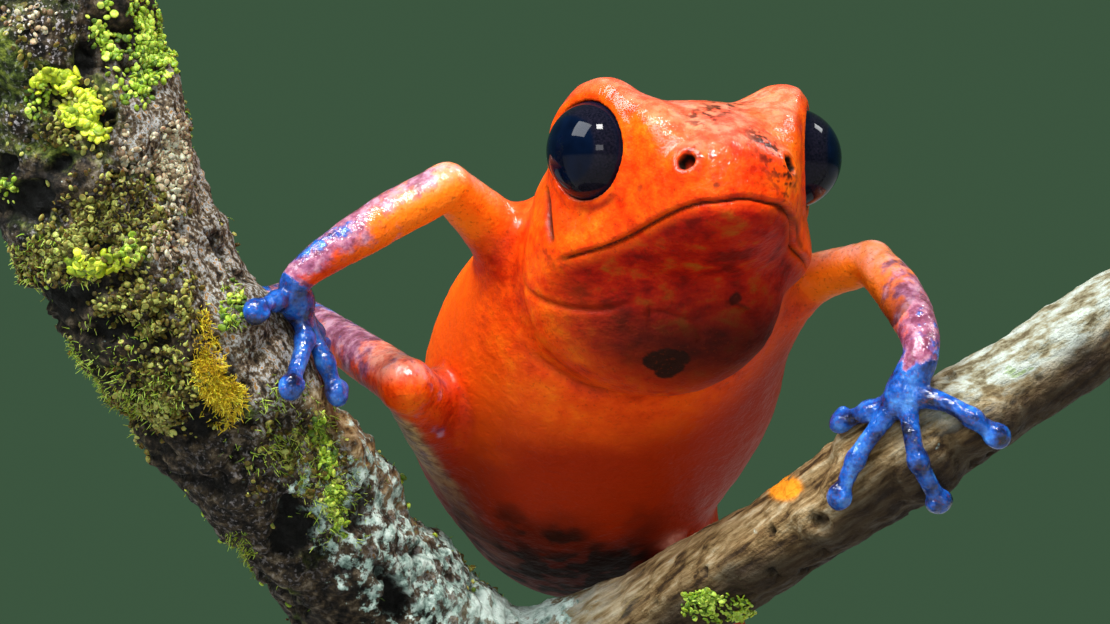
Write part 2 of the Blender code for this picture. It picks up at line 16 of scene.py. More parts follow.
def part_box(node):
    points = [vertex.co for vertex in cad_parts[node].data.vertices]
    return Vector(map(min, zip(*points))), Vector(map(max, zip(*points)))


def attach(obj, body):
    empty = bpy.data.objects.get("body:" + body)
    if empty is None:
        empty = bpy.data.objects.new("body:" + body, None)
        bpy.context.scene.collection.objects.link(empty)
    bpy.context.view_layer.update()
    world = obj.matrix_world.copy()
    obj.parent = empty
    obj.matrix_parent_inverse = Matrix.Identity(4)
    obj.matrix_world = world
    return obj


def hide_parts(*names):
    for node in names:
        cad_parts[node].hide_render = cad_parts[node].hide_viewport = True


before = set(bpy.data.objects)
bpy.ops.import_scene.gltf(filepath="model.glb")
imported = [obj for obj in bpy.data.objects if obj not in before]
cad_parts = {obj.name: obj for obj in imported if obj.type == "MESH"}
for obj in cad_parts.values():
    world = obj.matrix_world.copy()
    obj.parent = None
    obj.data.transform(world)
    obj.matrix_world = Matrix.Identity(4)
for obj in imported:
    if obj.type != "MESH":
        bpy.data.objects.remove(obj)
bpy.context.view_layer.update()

# The view: its middle in the stand's frame and its distance, in millimetres, the photo's
# pixels to a millimetre at the middle, and the photo's size in pixels
VIEW_MIDDLE = np.array([0.4, -8.2, 25.0])
VIEW_DISTANCE = 150.0
PIXELS_PER_MM = 44.6
PHOTO_SIZE = (1110, 624)

# The frog's measures and pose points. They are the solids' own, but for NOSTRIL_BACK and
# the first three rows of HEAD, at the tip of the snout.
HEAD_YAW = math.radians(20.0)
HEAD_PITCH = math.radians(14.0)
HEAD_ROLL = math.radians(-1.5)
HEAD_MIDDLE = Vector((3.19, 2.70, 3.59))
EYE_RADIUS = 1.16
EYE_SPACING = 4.74
EYE_TO_SNOUT = 2.95
EYE_TURN = math.radians(25.0)
LID_ANGLE = math.radians(74.5)
LID_TILT = -0.085
MOUTH_DROP = 1.86
MOUTH_CORNER_BACK = 1.1
MOUTH_BEND = 0.45
NOSTRIL_SIDE = 1.17
NOSTRIL_DROP = 0.93
NOSTRIL_BACK = 0.42
FINGER_RADIUS = 0.27
DISC_RADIUS = 0.33
TRUNK = [
    ((2.75, 4.4, 1.9), 2.6, 2.5), ((2.25, 6.0, 0.9), 3.45, 2.75),
    ((1.35, 8.2, -0.9), 4.15, 3.1), ((0.7, 10.4, -2.7), 3.95, 3.2),
    ((0.65, 12.4, -4.1), 3.25, 2.8), ((0.65, 14.2, -5.15), 2.35, 2.1),
    ((0.65, 15.3, -5.7), 1.2, 1.1),
]
HEAD = [
    (3.02, 0.05, -1.2, -1.5), (2.93, 0.62, -0.70, -1.95), (2.80, 0.98, -0.35, -2.25),
    (2.40, 1.42, 0.10, -2.50), (1.80, 1.85, 0.55, -2.70), (1.00, 2.22, 0.98, -2.90),
    (0.00, 2.62, 1.28, -3.10), (-1.20, 3.00, 1.38, -3.35), (-2.40, 3.15, 1.25, -3.60),
    (-3.40, 2.90, 0.95, -3.80),
]

# Powers of the sections, 2 for an ellipse and more for a fuller one
TRUNK_FULLNESS, SKULL_FULLNESS = 2.12, 2.24

# Swellings of the head: a place, three half widths and a fillet. Those on both sides are
# given ahead, to the side and up in the head's axes, the nape and throat in the pose frame.
# The orbit lies at the eye, so only its half widths are here. The throat is tipped.
BROW = ((-0.15, 2.15, 0.35), (1.55, 1.1, 1.38), 0.75)
MUZZLE = ((1.0, 1.45, -0.1), (1.05, 0.75, 0.95), 0.5)
JAW_CORNER = ((-1.35, 2.2, -1.75), (1.5, 1.0, 1.0), 0.6)
ORBIT_RADII = (1.45, 0.95, 1.42)
NAPE = ((2.6, 5.2, 1.75), (2.6, 2.2, 2.15), 0.6)
THROAT = ((2.25, 3.75, 0.55), (3.0, 1.9, 2.55), 0.5)
THROAT_TIP = math.radians(18.0)

# The limbs and the branches: points of their middle lines, and radii at those points
ARM_RIGHT = [(-0.2, 6.6, 0.7), (-1.75, 5.1, 2.25), (-2.48, 3.8, 2.90), (-4.1, 3.25, 2.0),
             (-5.80, 2.7, 0.85)]
ARM_LEFT = [(4.4, 7.0, -0.3), (6.0, 6.3, 0.75), (7.35, 5.2, 1.16), (7.95, 3.7, 0.35),
            (8.33, 1.9, -0.80)]
ARM_RIGHT_RADII = [1.0, 0.66, 0.53, 0.55, 0.38]
ARM_LEFT_RADII = [1.0, 0.60, 0.50, 0.55, 0.42]
HIP_RIGHT, KNEE_RIGHT, ANKLE_RIGHT = (-1.2, 12.6, -4.2), (-3.45, 5.6, -1.70), (-6.6, 11.3, 0.25)
HIP_LEFT, KNEE_LEFT, ANKLE_LEFT = (2.5, 13.0, -4.5), (4.2, 8.9, -9.3), (1.2, 13.8, -9.5)
THIGH_RADII = [1.2, 1.08, 0.62]
SHANK_RADII = [0.61, 0.54, 0.42]
LEFT_BRANCH = [
    (-12.1, 2.2, 7.9), (-10.95, 2.6, 4.84), (-9.84, 3.1, 1.42), (-7.6, 4.2, -2.03),
    (-5.38, 6.6, -5.1), (-2.97, 9.2, -7.8), (-0.9, 10.7, -10.4)]
RIGHT_BRANCH = [
    (13.3, 2.4, 0.27), (11.0, 2.7, -1.35), (8.25, 3.3, -3.12), (5.22, 5.2, -5.24),
    (2.24, 8.0, -7.16), (-0.36, 10.2, -8.75)]
STEM = [(-1.4, 10.3, -9.2), (-0.85, 10.7, -11.2), (-0.7, 10.7, -14.0), (-0.7, 10.7, -17.0)]
LEFT_BRANCH_RADII = [2.35, 2.35, 2.25, 1.98, 1.88, 1.88, 1.95]
RIGHT_BRANCH_RADII = [0.98, 1.02, 1.12, 1.08, 1.15, 1.70]
STEM_RADII = [1.9, 2.1, 2.1, 2.05]

# How far the middles of digits and palms lie over the bark: 0.09 and 0.08 less than in the
# solids, which keep a gap there. Then the places of palms, soles, fingers and toes on the
# branches: the way along, from 0 to 1, and degrees round.
DIGIT_LIFT = 0.60
PALM_LIFT = 0.72
PALM_RIGHT, PALM_LEFT = (0.456, 75), (0.353, -44)
SOLE_RIGHT, SOLE_LEFT = (0.42, 186), (0.50, 162)
FINGERS_RIGHT = [
    [(0.440, 61), (0.432, 44)], [(0.470, 71), (0.482, 64), (0.497, 36)],
    [(0.485, 77), (0.508, 70), (0.530, 61)], [(0.482, 90), (0.503, 98), (0.521, 107)]]
FINGERS_LEFT = [
    [(0.385, -48), (0.40, -51), (0.437, -60)], [(0.40, -32), (0.437, -21), (0.47, -5)],
    [(0.368, -19), (0.383, 7), (0.396, 46)], [(0.323, -19), (0.303, 1), (0.289, 23)]]
TOES_RIGHT = [
    [(0.44, 190), (0.49, 196), (0.53, 200)], [(0.43, 194), (0.46, 204), (0.48, 210)],
    [(0.41, 194), (0.41, 206), (0.41, 214)], [(0.39, 194), (0.36, 204), (0.34, 210)],
    [(0.40, 188), (0.35, 194), (0.31, 198)]]
TOES_LEFT = [
    [(0.56, 178), (0.62, 196), (0.67, 212)], [(0.60, 172), (0.68, 184), (0.75, 194)],
    [(0.62, 164), (0.72, 166), (0.82, 168)], [(0.60, 152), (0.69, 144), (0.78, 138)],
    [(0.56, 144), (0.62, 128), (0.67, 112)]]

# Steps of the grids that the skin and the bark are drawn on and the distance that an
# empty grid holds, in millimetres, and the floor's radius, in metres
SKIN_STEP = 0.055
BARK_STEP = 0.075
FAR = 5.0
FLOOR_RADIUS = 0.36

# Marks on the frog, at their places in the photo's pixels. Folds: points, width, depth,
# darkness, which is painted shade in the crease, and the share that fades at each end.
# Spots: place, radius, darkness. Scuffs: points, reach, size of their flecks, seed, darkness.
HIND_LUMP = (671, 541)
FOLDS = [
    ([(545, 186), (547, 200), (548, 218), (553, 248)], 0.11, 0.12, 0.95, 0.12),
    ([(508, 264), (534, 296), (574, 309), (609, 309), (648, 298)], 0.08, 0.09, 0.45, 0.3),
    ([(571, 204), (588, 210), (606, 204), (618, 192)], 0.10, 0.05, 0.35, 0.2),
    ([(772, 206), (790, 214), (797, 230), (803, 252)], 0.08, 0.03, 0.85, 0.15),
    ([(512, 334), (550, 368), (600, 390), (650, 396), (694, 384)], 0.15, 0.08, 0.30, 0.3),
    ([(640, 318), (662, 312), (690, 320), (716, 312)], 0.07, 0.06, 0.75, 0.3),
    ([(690, 320), (700, 334), (697, 348)], 0.07, 0.06, 0.75, 0.3),
    ([(652, 300), (649, 318), (655, 336)], 0.07, 0.06, 0.7, 0.3),
    ([(725, 296), (742, 306), (758, 312)], 0.07, 0.05, 0.75, 0.3),
]
SPOTS = [
    ((656, 362), 0.29, 0.97), ((668, 358), 0.30, 0.97), ((679, 358), 0.24, 0.97),
    ((665, 370), 0.27, 0.97), ((674, 366), 0.24, 0.97), ((735, 300), 0.14, 0.85),
    ((728, 304), 0.10, 0.6), ((640, 188), 0.06, 0.5), ((716, 186), 0.05, 0.7),
]
SCUFFS = [
    ([(700, 118), (722, 106), (738, 102)], 0.55, 0.12, 8, 0.9),
    ([(762, 140), (778, 158), (788, 184)], 0.55, 0.11, 9, 0.95),
    ([(690, 150), (706, 158)], 0.26, 0.12, 10, 0.75),
    ([(545, 255), (560, 262)], 0.3, 0.14, 13, 0.4),
]
FLANK_LINE = [(398, 420), (426, 464), (464, 514), (506, 558)]

# How each limb turns blue: the direction that its bluer side faces, and how blue it is at
# equal steps from the shoulder or hip to the palm or sole
LIMB_BLUE = {
    "arm_right": ((-0.5, 0.0, 1.6), (0.0, 0.0, 0.08, 0.28, 0.42, 1.0)),
    "arm_left": ((0.8, 0.0, 0.6), (0.0, 0.0, 0.10, 0.26, 0.50, 1.0)),
    "leg_right": ((0.0, 0.0, 1.0), (0.0, 0.0, 0.14, 0.48, 0.50, 1.0)),
    "leg_left": ((0.0, 0.0, 1.0), (0.0, 0.0, 0.10, 0.38, 0.46, 1.0)),
}

# Patches on the bark in the photo's pixels: a middle, two half widths and an amount
KNOT = [(822, 520, 26, 20, 1.0)]
KNOT_HOLE = [(822, 520, 10, 8, 1.0)]
KNOT_SHADE = [(822, 520, 9, 8, 0.9)]
# Hollows: carved, and painted with shade
HOLLOWS = [
    (30, 202, 26, 26, 1.2), (86, 58, 14, 18, 1.1), (10, 165, 14, 14, 1.0), (60, 300, 38, 24, 1.0),
    (112, 328, 36, 16, 1.0), (160, 310, 16, 14, 0.9), (106, 122, 12, 10, 1.0),
    (62, 166, 16, 14, 1.1), (262, 320, 10, 14, 1.0), (200, 430, 30, 30, 0.8),
    (290, 520, 26, 40, 0.8), (395, 600, 20, 26, 0.9),
]
RIDGES = [(360, 425, 26, 34, 1.0), (390, 462, 26, 34, 1.0)]
# A painted highlight in tan along the ridge of the left branch
TAN_HIGHLIGHT_STRIP = [
    (322, 404, 16, 18, 1.0), (344, 428, 17, 18, 1.1), (368, 456, 18, 20, 1.1),
    (396, 490, 16, 20, 0.9), (424, 522, 16, 20, 0.7),
]
PALE_FORK = [(505, 606, 50, 24, 0.9)]
LICHEN_FORK = [(515, 604, 66, 30, 1.0)]
RUST_SPOT = [(785, 488, 15, 11, 2.6)]
# Pale flecks on the left branch: crust, and painted glints of wet bark
CRUST_AND_GLINT_PATCHES = [
    (36, 30, 44, 46, 1.0), (20, 110, 40, 50, 0.8), (150, 200, 60, 90, 0.4),
    (60, 250, 60, 40, 0.5), (260, 510, 90, 110, 0.25),
]
GREEN_LEAVES = [
    (140, 50, 30, 46, 1.0), (110, 30, 20, 24, 0.6), (8, 190, 16, 12, 0.9),
    (130, 250, 12, 14, 0.8), (232, 308, 12, 20, 2.4), (40, 100, 14, 20, 0.5),
    (318, 430, 9, 16, 0.5), (326, 460, 9, 18, 0.6), (334, 495, 9, 18, 0.5),
    (341, 525, 9, 14, 0.4),
]
LIME_LEAVES = [
    (56, 82, 20, 12, 1.0), (80, 108, 20, 16, 1.0), (96, 126, 12, 12, 0.8), (98, 262, 28, 12, 0.6),
]
OLIVE_LEAVES = [
    (110, 215, 66, 40, 1.0), (60, 120, 50, 40, 0.5), (40, 30, 40, 40, 0.12),
    (150, 300, 50, 46, 0.6), (170, 390, 56, 50, 0.35), (300, 470, 60, 60, 0.2),
    (60, 260, 60, 20, 0.7),
]
BEIGE_LEAVES = [
    (172, 165, 14, 46, 1.0), (136, 146, 22, 28, 0.8), (150, 240, 30, 20, 0.4), (30, 20, 30, 20, 0.3),
]
TUFT = [(706, 606, 26, 14, 1.0), (738, 606, 14, 12, 0.6)]
YELLOW_THREADS = [(206, 332, 9, 26, 1.0), (209, 365, 13, 24, 1.0), (224, 404, 20, 22, 1.0)]
GREEN_THREADS = [
    (322, 440, 9, 26, 1.6), (334, 495, 9, 26, 1.6), (232, 312, 11, 24, 3.0),
    (130, 370, 60, 60, 1.0), (280, 430, 50, 50, 0.8), (60, 260, 50, 30, 0.8),
    (330, 500, 40, 50, 0.5), (240, 560, 20, 30, 0.6), (240, 318, 14, 14, 1.0),
]

# The light: the world's colour, the point that the lamps face, and each lamp's name, place,
# size, power and colour, in metres and watts
WORLD_COLOUR = (0.045, 0.092, 0.050)
LAMP_TARGET = (0.002, -0.003, 0.026)
LAMPS = [
    ("key", (0.02, -0.14, 0.23), (0.05, 0.05), 0.80, (1.0, 0.98, 0.95)),
    ("left", (-0.14, -0.12, 0.22), (0.15, 0.15), 1.30, (0.93, 0.97, 1.0)),
    ("right", (0.18, 0.06, 0.22), (0.06, 0.06), 0.22, (0.97, 0.99, 1.0)),
    ("fill", (0.03, -0.34, 0.07), (0.10, 0.07), 0.22, (0.97, 0.98, 1.0)),
]

# Directions in which the bark's fibres run
LEFT_FIBRES = Vector((0.43, 0.20, -0.88))
RIGHT_FIBRES = Vector((0.76, -0.39, 0.51))


# Curves and small mathematics

def smooth_line(points, steps):
    """Points, or single values, on a smooth curve through the given ones."""
    given = np.array(points, float)
    ends = np.concatenate([[2 * given[0] - given[1]], given, [2 * given[-1] - given[-2]]])
    line = []
    for index in range(1, len(ends) - 2):
        a, b, c, d = ends[index - 1:index + 3]
        for step in range(steps):
            t = step / steps
            line.append(0.5 * (2 * b + (c - a) * t + (2 * a - 5 * b + 4 * c - d) * t * t
                               + (3 * b - a - 3 * c + d) * t ** 3))
    line.append(given[-1])
    return np.array(line)


def unit(vector):
    return vector / np.linalg.norm(vector)


def ramp(values, low, high):
    """0 below low, 1 above high, smooth between."""
    t = np.clip((values - low) / (high - low), 0, 1)
    return t * t * (3 - 2 * t)


def head_matrix():
    """Axes of the head: X forward to the snout, Y to the frog's left, Z up."""
    forward = Vector((math.sin(HEAD_YAW) * math.cos(HEAD_PITCH),
                      -math.cos(HEAD_YAW) * math.cos(HEAD_PITCH), math.sin(HEAD_PITCH)))
    left = Vector((0, 0, 1)).cross(forward).normalized()
    left = Matrix.Rotation(HEAD_ROLL, 3, forward) @ left
    up = forward.cross(left).normalized()
    turn = Matrix((forward, left, up)).transposed().to_4x4()
    return Matrix.Translation(HEAD_MIDDLE) @ turn


HEAD_FRAME = head_matrix()
HEAD_TURN = np.array(HEAD_FRAME.to_3x3())


def on_head(ahead, left, up):
    """A point given in the head's axes."""
    return np.array(HEAD_FRAME @ Vector((ahead, left, up)))


def branch_point(branch, along, turn_degrees, lift):
    """A point over a branch: 0 degrees faces the viewer, 90 its right, lift from the bark."""
    line, radii = branch
    place = along * (len(line) - 1)
    index = min(int(place), len(line) - 2)
    t = place - index
    axis = unit(line[index + 1] - line[index])
    front = unit(np.array([0.0, -1.0, 0.0]) + axis * axis[1])
    side = unit(np.cross(front, axis))
    angle = math.radians(turn_degrees)
    reach = radii[index] + (radii[index + 1] - radii[index]) * t + lift
    middle = line[index] + (line[index + 1] - line[index]) * t
    return middle + (front * math.cos(angle) + side * math.sin(angle)) * reach


BRANCHES = [(smooth_line(line, 3), smooth_line(radii, 3)) for line, radii in (
    (LEFT_BRANCH, LEFT_BRANCH_RADII), (RIGHT_BRANCH, RIGHT_BRANCH_RADII), (STEM, STEM_RADII))]


def lattice_noise(points, size, seed):
    """Smooth noise from -1 to 1 at the points, with cells of the given size."""
    table = np.random.RandomState(seed).rand(32, 32, 32) * 2 - 1
    q = points / size
    base = np.floor(q).astype(int)
    f = q - base
    f = f * f * (3 - 2 * f)
    total = np.zeros(len(points))
    for corner in range(8):
        step = np.array([corner & 1, corner >> 1 & 1, corner >> 2 & 1])
        cell = (base + step) % 32
        weight = np.prod(np.where(step, f, 1 - f), axis=1)
        total += table[cell[:, 0], cell[:, 1], cell[:, 2]] * weight
    return total


def fractal_noise(points, size, octaves, seed):
    """Noise with finer noise on it."""
    total = np.zeros(len(points))
    weight = 1.0
    for octave in range(octaves):
        total += lattice_noise(points + 17.3 * octave, size / 2 ** octave, seed + octave) * weight
        weight *= 0.5
    return total


def view_pixels(points):
    """Where points show in the photo."""
    scale = 1 + points[:, 1] / VIEW_DISTANCE
    return (points[:, 0] / scale * PIXELS_PER_MM + PHOTO_SIZE[0] / 2,
            PHOTO_SIZE[1] / 2 - points[:, 2] / scale * PIXELS_PER_MM)


def view_patches(points, patches):
    """Soft patches in the view: rows of a middle, two half widths and an amount."""
    px, py = view_pixels(points)
    total = np.zeros(len(points))
    for x, y, wide, tall, amount in patches:
        reach = ((px - x) / wide) ** 2 + ((py - y) / tall) ** 2
        total += amount * np.exp(-reach ** 2)
    return total


def nearest_on(line, all_points, reach=1e6):
    """Distance of each point to a line of points, and how far along it that is, from 0 to 1.
    Points further away than the reach are left out."""
    line = np.asarray(line, float)
    chosen = ((all_points > line.min(0) - reach) & (all_points < line.max(0) + reach)).all(axis=1)
    points = all_points[chosen]
    best = np.full(len(points), 1e9)
    along = np.zeros(len(points))
    last = len(line) - 1
    for index in range(last):
        a = line[index]
        ab = line[index + 1] - a
        t = np.clip((points - a) @ ab / (ab @ ab), 0, 1)
        distance = np.linalg.norm(points - a - t[:, None] * ab, axis=1)
        closer = distance < best
        best[closer] = distance[closer]
        along[closer] = (index + t[closer]) / last
    distances = np.full(len(all_points), 1e9)
    places = np.zeros(len(all_points))
    distances[chosen] = best
    places[chosen] = along
    return distances, places


# Forms as distances on a grid

class Field:
    """Distance to a fused form on a grid, in millimetres, negative inside."""

    def __init__(self, low, high, step):
        self.step = step
        self.low = np.array(low, float)
        self.count = np.ceil((np.array(high) - self.low) / step).astype(int) + 1
        self.values = np.full(self.count, FAR, np.float32)
        self.axes = [(self.low[i] + step * np.arange(self.count[i])).astype(np.float32)
                     for i in range(3)]

    def window(self, low, high):
        """The cells between two corners, with their coordinates."""
        cuts = []
        for i in range(3):
            first = max(int((low[i] - self.low[i]) / self.step), 0)
            last = min(int((high[i] - self.low[i]) / self.step) + 2, self.count[i])
            cuts.append(slice(first, max(last, first)))
        return (tuple(cuts), self.axes[0][cuts[0]][:, None, None],
                self.axes[1][cuts[1]][None, :, None], self.axes[2][cuts[2]][None, None, :])

    def sample(self, points):
        """The distance at any points."""
        q = (points - self.low) / self.step
        q = np.clip(q, 0, self.count - 1.001)
        base = q.astype(int)
        f = q - base
        total = np.zeros(len(points))
        for corner in range(8):
            step = np.array([corner & 1, corner >> 1 & 1, corner >> 2 & 1])
            cell = base + step
            weight = np.prod(np.where(step, f, 1 - f), axis=1)
            total += self.values[cell[:, 0], cell[:, 1], cell[:, 2]] * weight
        return total

    def slope(self, points):
        """Direction in which the distance grows, at any points."""
        result = np.zeros_like(points)
        for i in range(3):
            shift = np.zeros(3)
            shift[i] = self.step
            result[:, i] = self.sample(points + shift) - self.sample(points - shift)
        return result / np.maximum(np.linalg.norm(result, axis=1), 1e-9)[:, None]


def merge(a, b, soft):
    """Union of two distances with a fillet."""
    h = np.maximum(soft - np.abs(a - b), 0) / soft
    return np.minimum(a, b) - h * h * (soft / 4)


def carve(a, b, soft):
    """Takes b out of a, with a rounded edge."""
    return -merge(-a, b, soft)


def ball_distance(x, y, z, middle, radii, turn=None):
    """Distance to an ellipsoid."""
    x, y, z = x - middle[0], y - middle[1], z - middle[2]
    if turn is not None:
        x, y, z = (turn[0, i] * x + turn[1, i] * y + turn[2, i] * z for i in range(3))
    a = np.sqrt((x / radii[0]) ** 2 + (y / radii[1]) ** 2 + (z / radii[2]) ** 2)
    b = np.sqrt((x / radii[0] ** 2) ** 2 + (y / radii[1] ** 2) ** 2 + (z / radii[2] ** 2) ** 2)
    return (a * (a - 1) / np.maximum(b, 1e-6)).astype(np.float32)


def add_ball(field, middle, radii, soft, turn=None, take=False):
    """Adds an ellipsoid to the form, or takes it away."""
    reach = max(radii) + soft + 0.2
    middle = np.array(middle, float)
    cuts, x, y, z = field.window(middle - reach, middle + reach)
    distance = ball_distance(x, y, z, middle, radii, turn)
    join = carve if take else merge
    field.values[cuts] = join(field.values[cuts], distance, soft)


def add_chain(field, points, radii, soft, steps=6):
    """Adds a smooth tapering limb with round ends."""
    line = smooth_line(points, steps)
    widths = smooth_line(radii, steps)
    cuts, near = chain_distance(field, line, widths, max(widths) + soft + 0.2)
    field.values[cuts] = merge(field.values[cuts], near, soft)


def chain_distance(field, line, widths, reach):
    """Distance to a tapering line, over the cells within its reach."""
    cuts = field.window(line.min(0) - reach, line.max(0) + reach)[0]
    near = np.full(field.values[cuts].shape, FAR, np.float32)
    for a, b, first, last in zip(line, line[1:], widths, widths[1:]):
        part, px, py, pz = field.window(np.minimum(a, b) - reach, np.maximum(a, b) + reach)
        px, py, pz = px - a[0], py - a[1], pz - a[2]
        ab = b - a
        t = np.clip((px * ab[0] + py * ab[1] + pz * ab[2]) / (ab @ ab), 0, 1).astype(np.float32)
        distance = np.sqrt((px - t * ab[0]) ** 2 + (py - t * ab[1]) ** 2 + (pz - t * ab[2]) ** 2)
        distance -= first + t * (last - first)
        place = tuple(slice(p.start - c.start, p.stop - c.start) for p, c in zip(part, cuts))
        near[place] = np.minimum(near[place], distance)
    return cuts, near


def section_distance(across, rise, half_width, half_height, power):
    """Distance to a full oval section, measured out from its middle."""
    out = np.sqrt(across ** 2 + rise ** 2)
    u = (np.abs(across / half_width) ** power + np.abs(rise / half_height) ** power) ** (1 / power)
    return out - out / np.maximum(u, 1e-4)


def add_trunk(field, soft):
    """The trunk: oval sections across a bent spine, worked out on every other cell."""
    steps = 9
    line = smooth_line([row[0] for row in TRUNK], steps)
    widths = smooth_line([row[1] for row in TRUNK], steps)
    heights = smooth_line([row[2] for row in TRUNK], steps)
    coarse = Field(line.min(0) - 4.9, line.max(0) + 4.9, 2 * field.step)
    x, y, z = (axis.reshape([-1 if i == k else 1 for k in range(3)])
               for i, axis in enumerate(coarse.axes))
    nearest = np.full(coarse.values.shape, 1e6, np.float32)
    last = len(line) - 2
    for index in range(last + 1):
        a = line[index]
        ab = line[index + 1] - a
        along = unit(ab)
        side = unit(np.array([1.0, 0, 0]) - along * along[0])
        up = np.cross(side, along)
        px, py, pz = x - np.float32(a[0]), y - np.float32(a[1]), z - np.float32(a[2])
        t = np.clip((px * ab[0] + py * ab[1] + pz * ab[2]) / (ab @ ab), 0, 1).astype(np.float32)
        qx, qy, qz = px - t * ab[0], py - t * ab[1], pz - t * ab[2]
        distance = qx * qx + qy * qy + qz * qz
        closer = distance < nearest
        nearest[closer] = distance[closer]
        qx, qy, qz, t = qx[closer], qy[closer], qz[closer], t[closer]
        across = qx * side[0] + qy * side[1] + qz * side[2]
        rise = qx * up[0] + qy * up[1] + qz * up[2]
        half_width = widths[index] + t * (widths[index + 1] - widths[index])
        half_height = heights[index] + t * (heights[index + 1] - heights[index])
        value = section_distance(across, rise, half_width, half_height, TRUNK_FULLNESS)
        if index in (0, last):
            over = qx * along[0] + qy * along[1] + qz * along[2]
            value = carve(value, -over if index == last else over, 0.9)
        coarse.values[closer] = value
    cuts, x, y, z = field.window(line.min(0) - 4.7, line.max(0) + 4.7)
    result = stretch_grid(coarse, x.ravel(), y.ravel(), z.ravel())
    field.values[cuts] = merge(field.values[cuts], result, soft)


def stretch_grid(coarse, *axes):
    """The coarse grid's values on finer coordinates, one axis after another."""
    values = coarse.values
    for i, axis in enumerate(axes):
        place = np.clip((axis - coarse.low[i]) / coarse.step, 0, coarse.count[i] - 1.001)
        base = place.astype(int)
        t = (place - base).astype(np.float32).reshape([-1 if k == i else 1 for k in range(3)])
        values = np.take(values, base, axis=i) * (1 - t) + np.take(values, base + 1, axis=i) * t
    return values


def add_skull(field, soft):
    """The head: full oval sections from the blunt snout to the nape."""
    rows = np.array(HEAD)[::-1]
    places = smooth_line(rows[:, 0], 5)
    squares = smooth_line(rows[:, 1] ** 2, 5)
    tops = smooth_line(rows[:, 2], 5)
    bottoms = smooth_line(rows[:, 3], 5)
    corner = np.array([5.0, 5.0, 5.0])
    cuts, x, y, z = field.window(np.array(HEAD_MIDDLE) - corner, np.array(HEAD_MIDDLE) + corner)
    x, y, z = x - HEAD_MIDDLE.x, y - HEAD_MIDDLE.y, z - HEAD_MIDDLE.z
    ahead, left, up = (HEAD_TURN[0, i] * x + HEAD_TURN[1, i] * y + HEAD_TURN[2, i] * z
                       for i in range(3))
    half = np.sqrt(np.maximum(np.interp(ahead, places, squares), 1e-4)).astype(np.float32)
    top = np.interp(ahead, places, tops).astype(np.float32)
    bottom = np.interp(ahead, places, bottoms).astype(np.float32)
    distance = section_distance(left, up - (top + bottom) / 2, half, (top - bottom) / 2,
                                SKULL_FULLNESS)
    distance = np.maximum(distance, ahead - rows[-1, 0])
    distance = np.maximum(distance, rows[0, 0] - ahead)
    slopes = np.gradient(distance, field.step)
    steep = np.sqrt(slopes[0] ** 2 + slopes[1] ** 2 + slopes[2] ** 2)
    distance = distance / np.clip(steep, 1.0, 6.0)
    field.values[cuts] = merge(field.values[cuts], distance.astype(np.float32), soft)


def eye_place(side):
    """Middle of an eye and the direction that its opening faces; side is 1 for the left."""
    outward = HEAD_TURN @ np.array([math.sin(EYE_TURN), side * math.cos(EYE_TURN), LID_TILT])
    return on_head(0, side * EYE_SPACING / 2, 0), unit(outward)


def shape_lids(field, side):
    """Opens the eye and drapes a thin lid over the ball."""
    eye, outward = eye_place(side)
    reach = EYE_RADIUS + 1.4
    cuts, x, y, z = field.window(eye - reach, eye + reach)
    x, y, z = x - eye[0], y - eye[1], z - eye[2]
    out = np.sqrt(x * x + y * y + z * z)
    facing = (x * outward[0] + y * outward[1] + z * outward[2]) / np.maximum(out, 1e-3)
    angle = np.arccos(np.clip(facing, -1, 1))
    flesh = field.values[cuts]
    funnel = np.maximum(out * (angle - (LID_ANGLE + 0.05)), EYE_RADIUS * 0.8 - out)
    flesh = carve(flesh, funnel.astype(np.float32), 0.30)
    shell = np.abs(out - (EYE_RADIUS + 0.065)) - 0.065
    rim = out * (LID_ANGLE + 0.06 - angle)
    far = out * (angle - (LID_ANGLE + 0.5))
    lid = np.maximum(np.maximum(shell, rim), far)
    rim_at = EYE_RADIUS + 0.07
    rim_height, rim_reach = rim_at * math.cos(LID_ANGLE + 0.05), rim_at * math.sin(LID_ANGLE + 0.05)
    height = out * facing
    flat = np.sqrt(np.maximum(out * out - height * height, 0))
    ring = np.sqrt((height - rim_height) ** 2 + (flat - rim_reach) ** 2) - 0.075
    lid = merge(lid, ring, 0.08)
    flesh = merge(flesh, lid.astype(np.float32), 0.28)
    flesh = np.maximum(flesh, (EYE_RADIUS + 0.012 - out).astype(np.float32))
    field.values[cuts] = flesh


def surface_net(field):
    """Vertices and quads of the surface where the distance is zero."""
    values = field.values
    inside = values < 0
    count = field.count
    ids = []
    crossings = []
    quads = []
    for axis in range(3):
        low = [slice(None)] * 3
        high = [slice(None)] * 3
        low[axis], high[axis] = slice(0, -1), slice(1, None)
        edge = np.argwhere(inside[tuple(low)] != inside[tuple(high)])
        other = edge.copy()
        other[:, axis] += 1
        a = values[edge[:, 0], edge[:, 1], edge[:, 2]].astype(float)
        b = values[other[:, 0], other[:, 1], other[:, 2]].astype(float)
        cross = edge.astype(float)
        cross[:, axis] += a / (a - b)
        around = []
        for first, second in ((-1, -1), (0, -1), (0, 0), (-1, 0)):
            cell = edge.copy()
            cell[:, (axis + 1) % 3] += first
            cell[:, (axis + 2) % 3] += second
            around.append((cell[:, 0] * count[1] + cell[:, 1]) * count[2] + cell[:, 2])
        quad = np.stack(around, axis=1)
        flip = a > 0
        quad[flip] = quad[flip][:, ::-1]
        quads.append(quad)
        for column in around:
            ids.append(column)
            crossings.append(cross)
    ids = np.concatenate(ids)
    crossings = np.concatenate(crossings)
    cells, index = np.unique(ids, return_inverse=True)
    number = np.bincount(index)
    verts = np.stack([np.bincount(index, crossings[:, i]) / number for i in range(3)], axis=1)
    quads = np.searchsorted(cells, np.concatenate(quads))
    verts = verts * field.step + field.low
    return keep_largest(verts, quads)


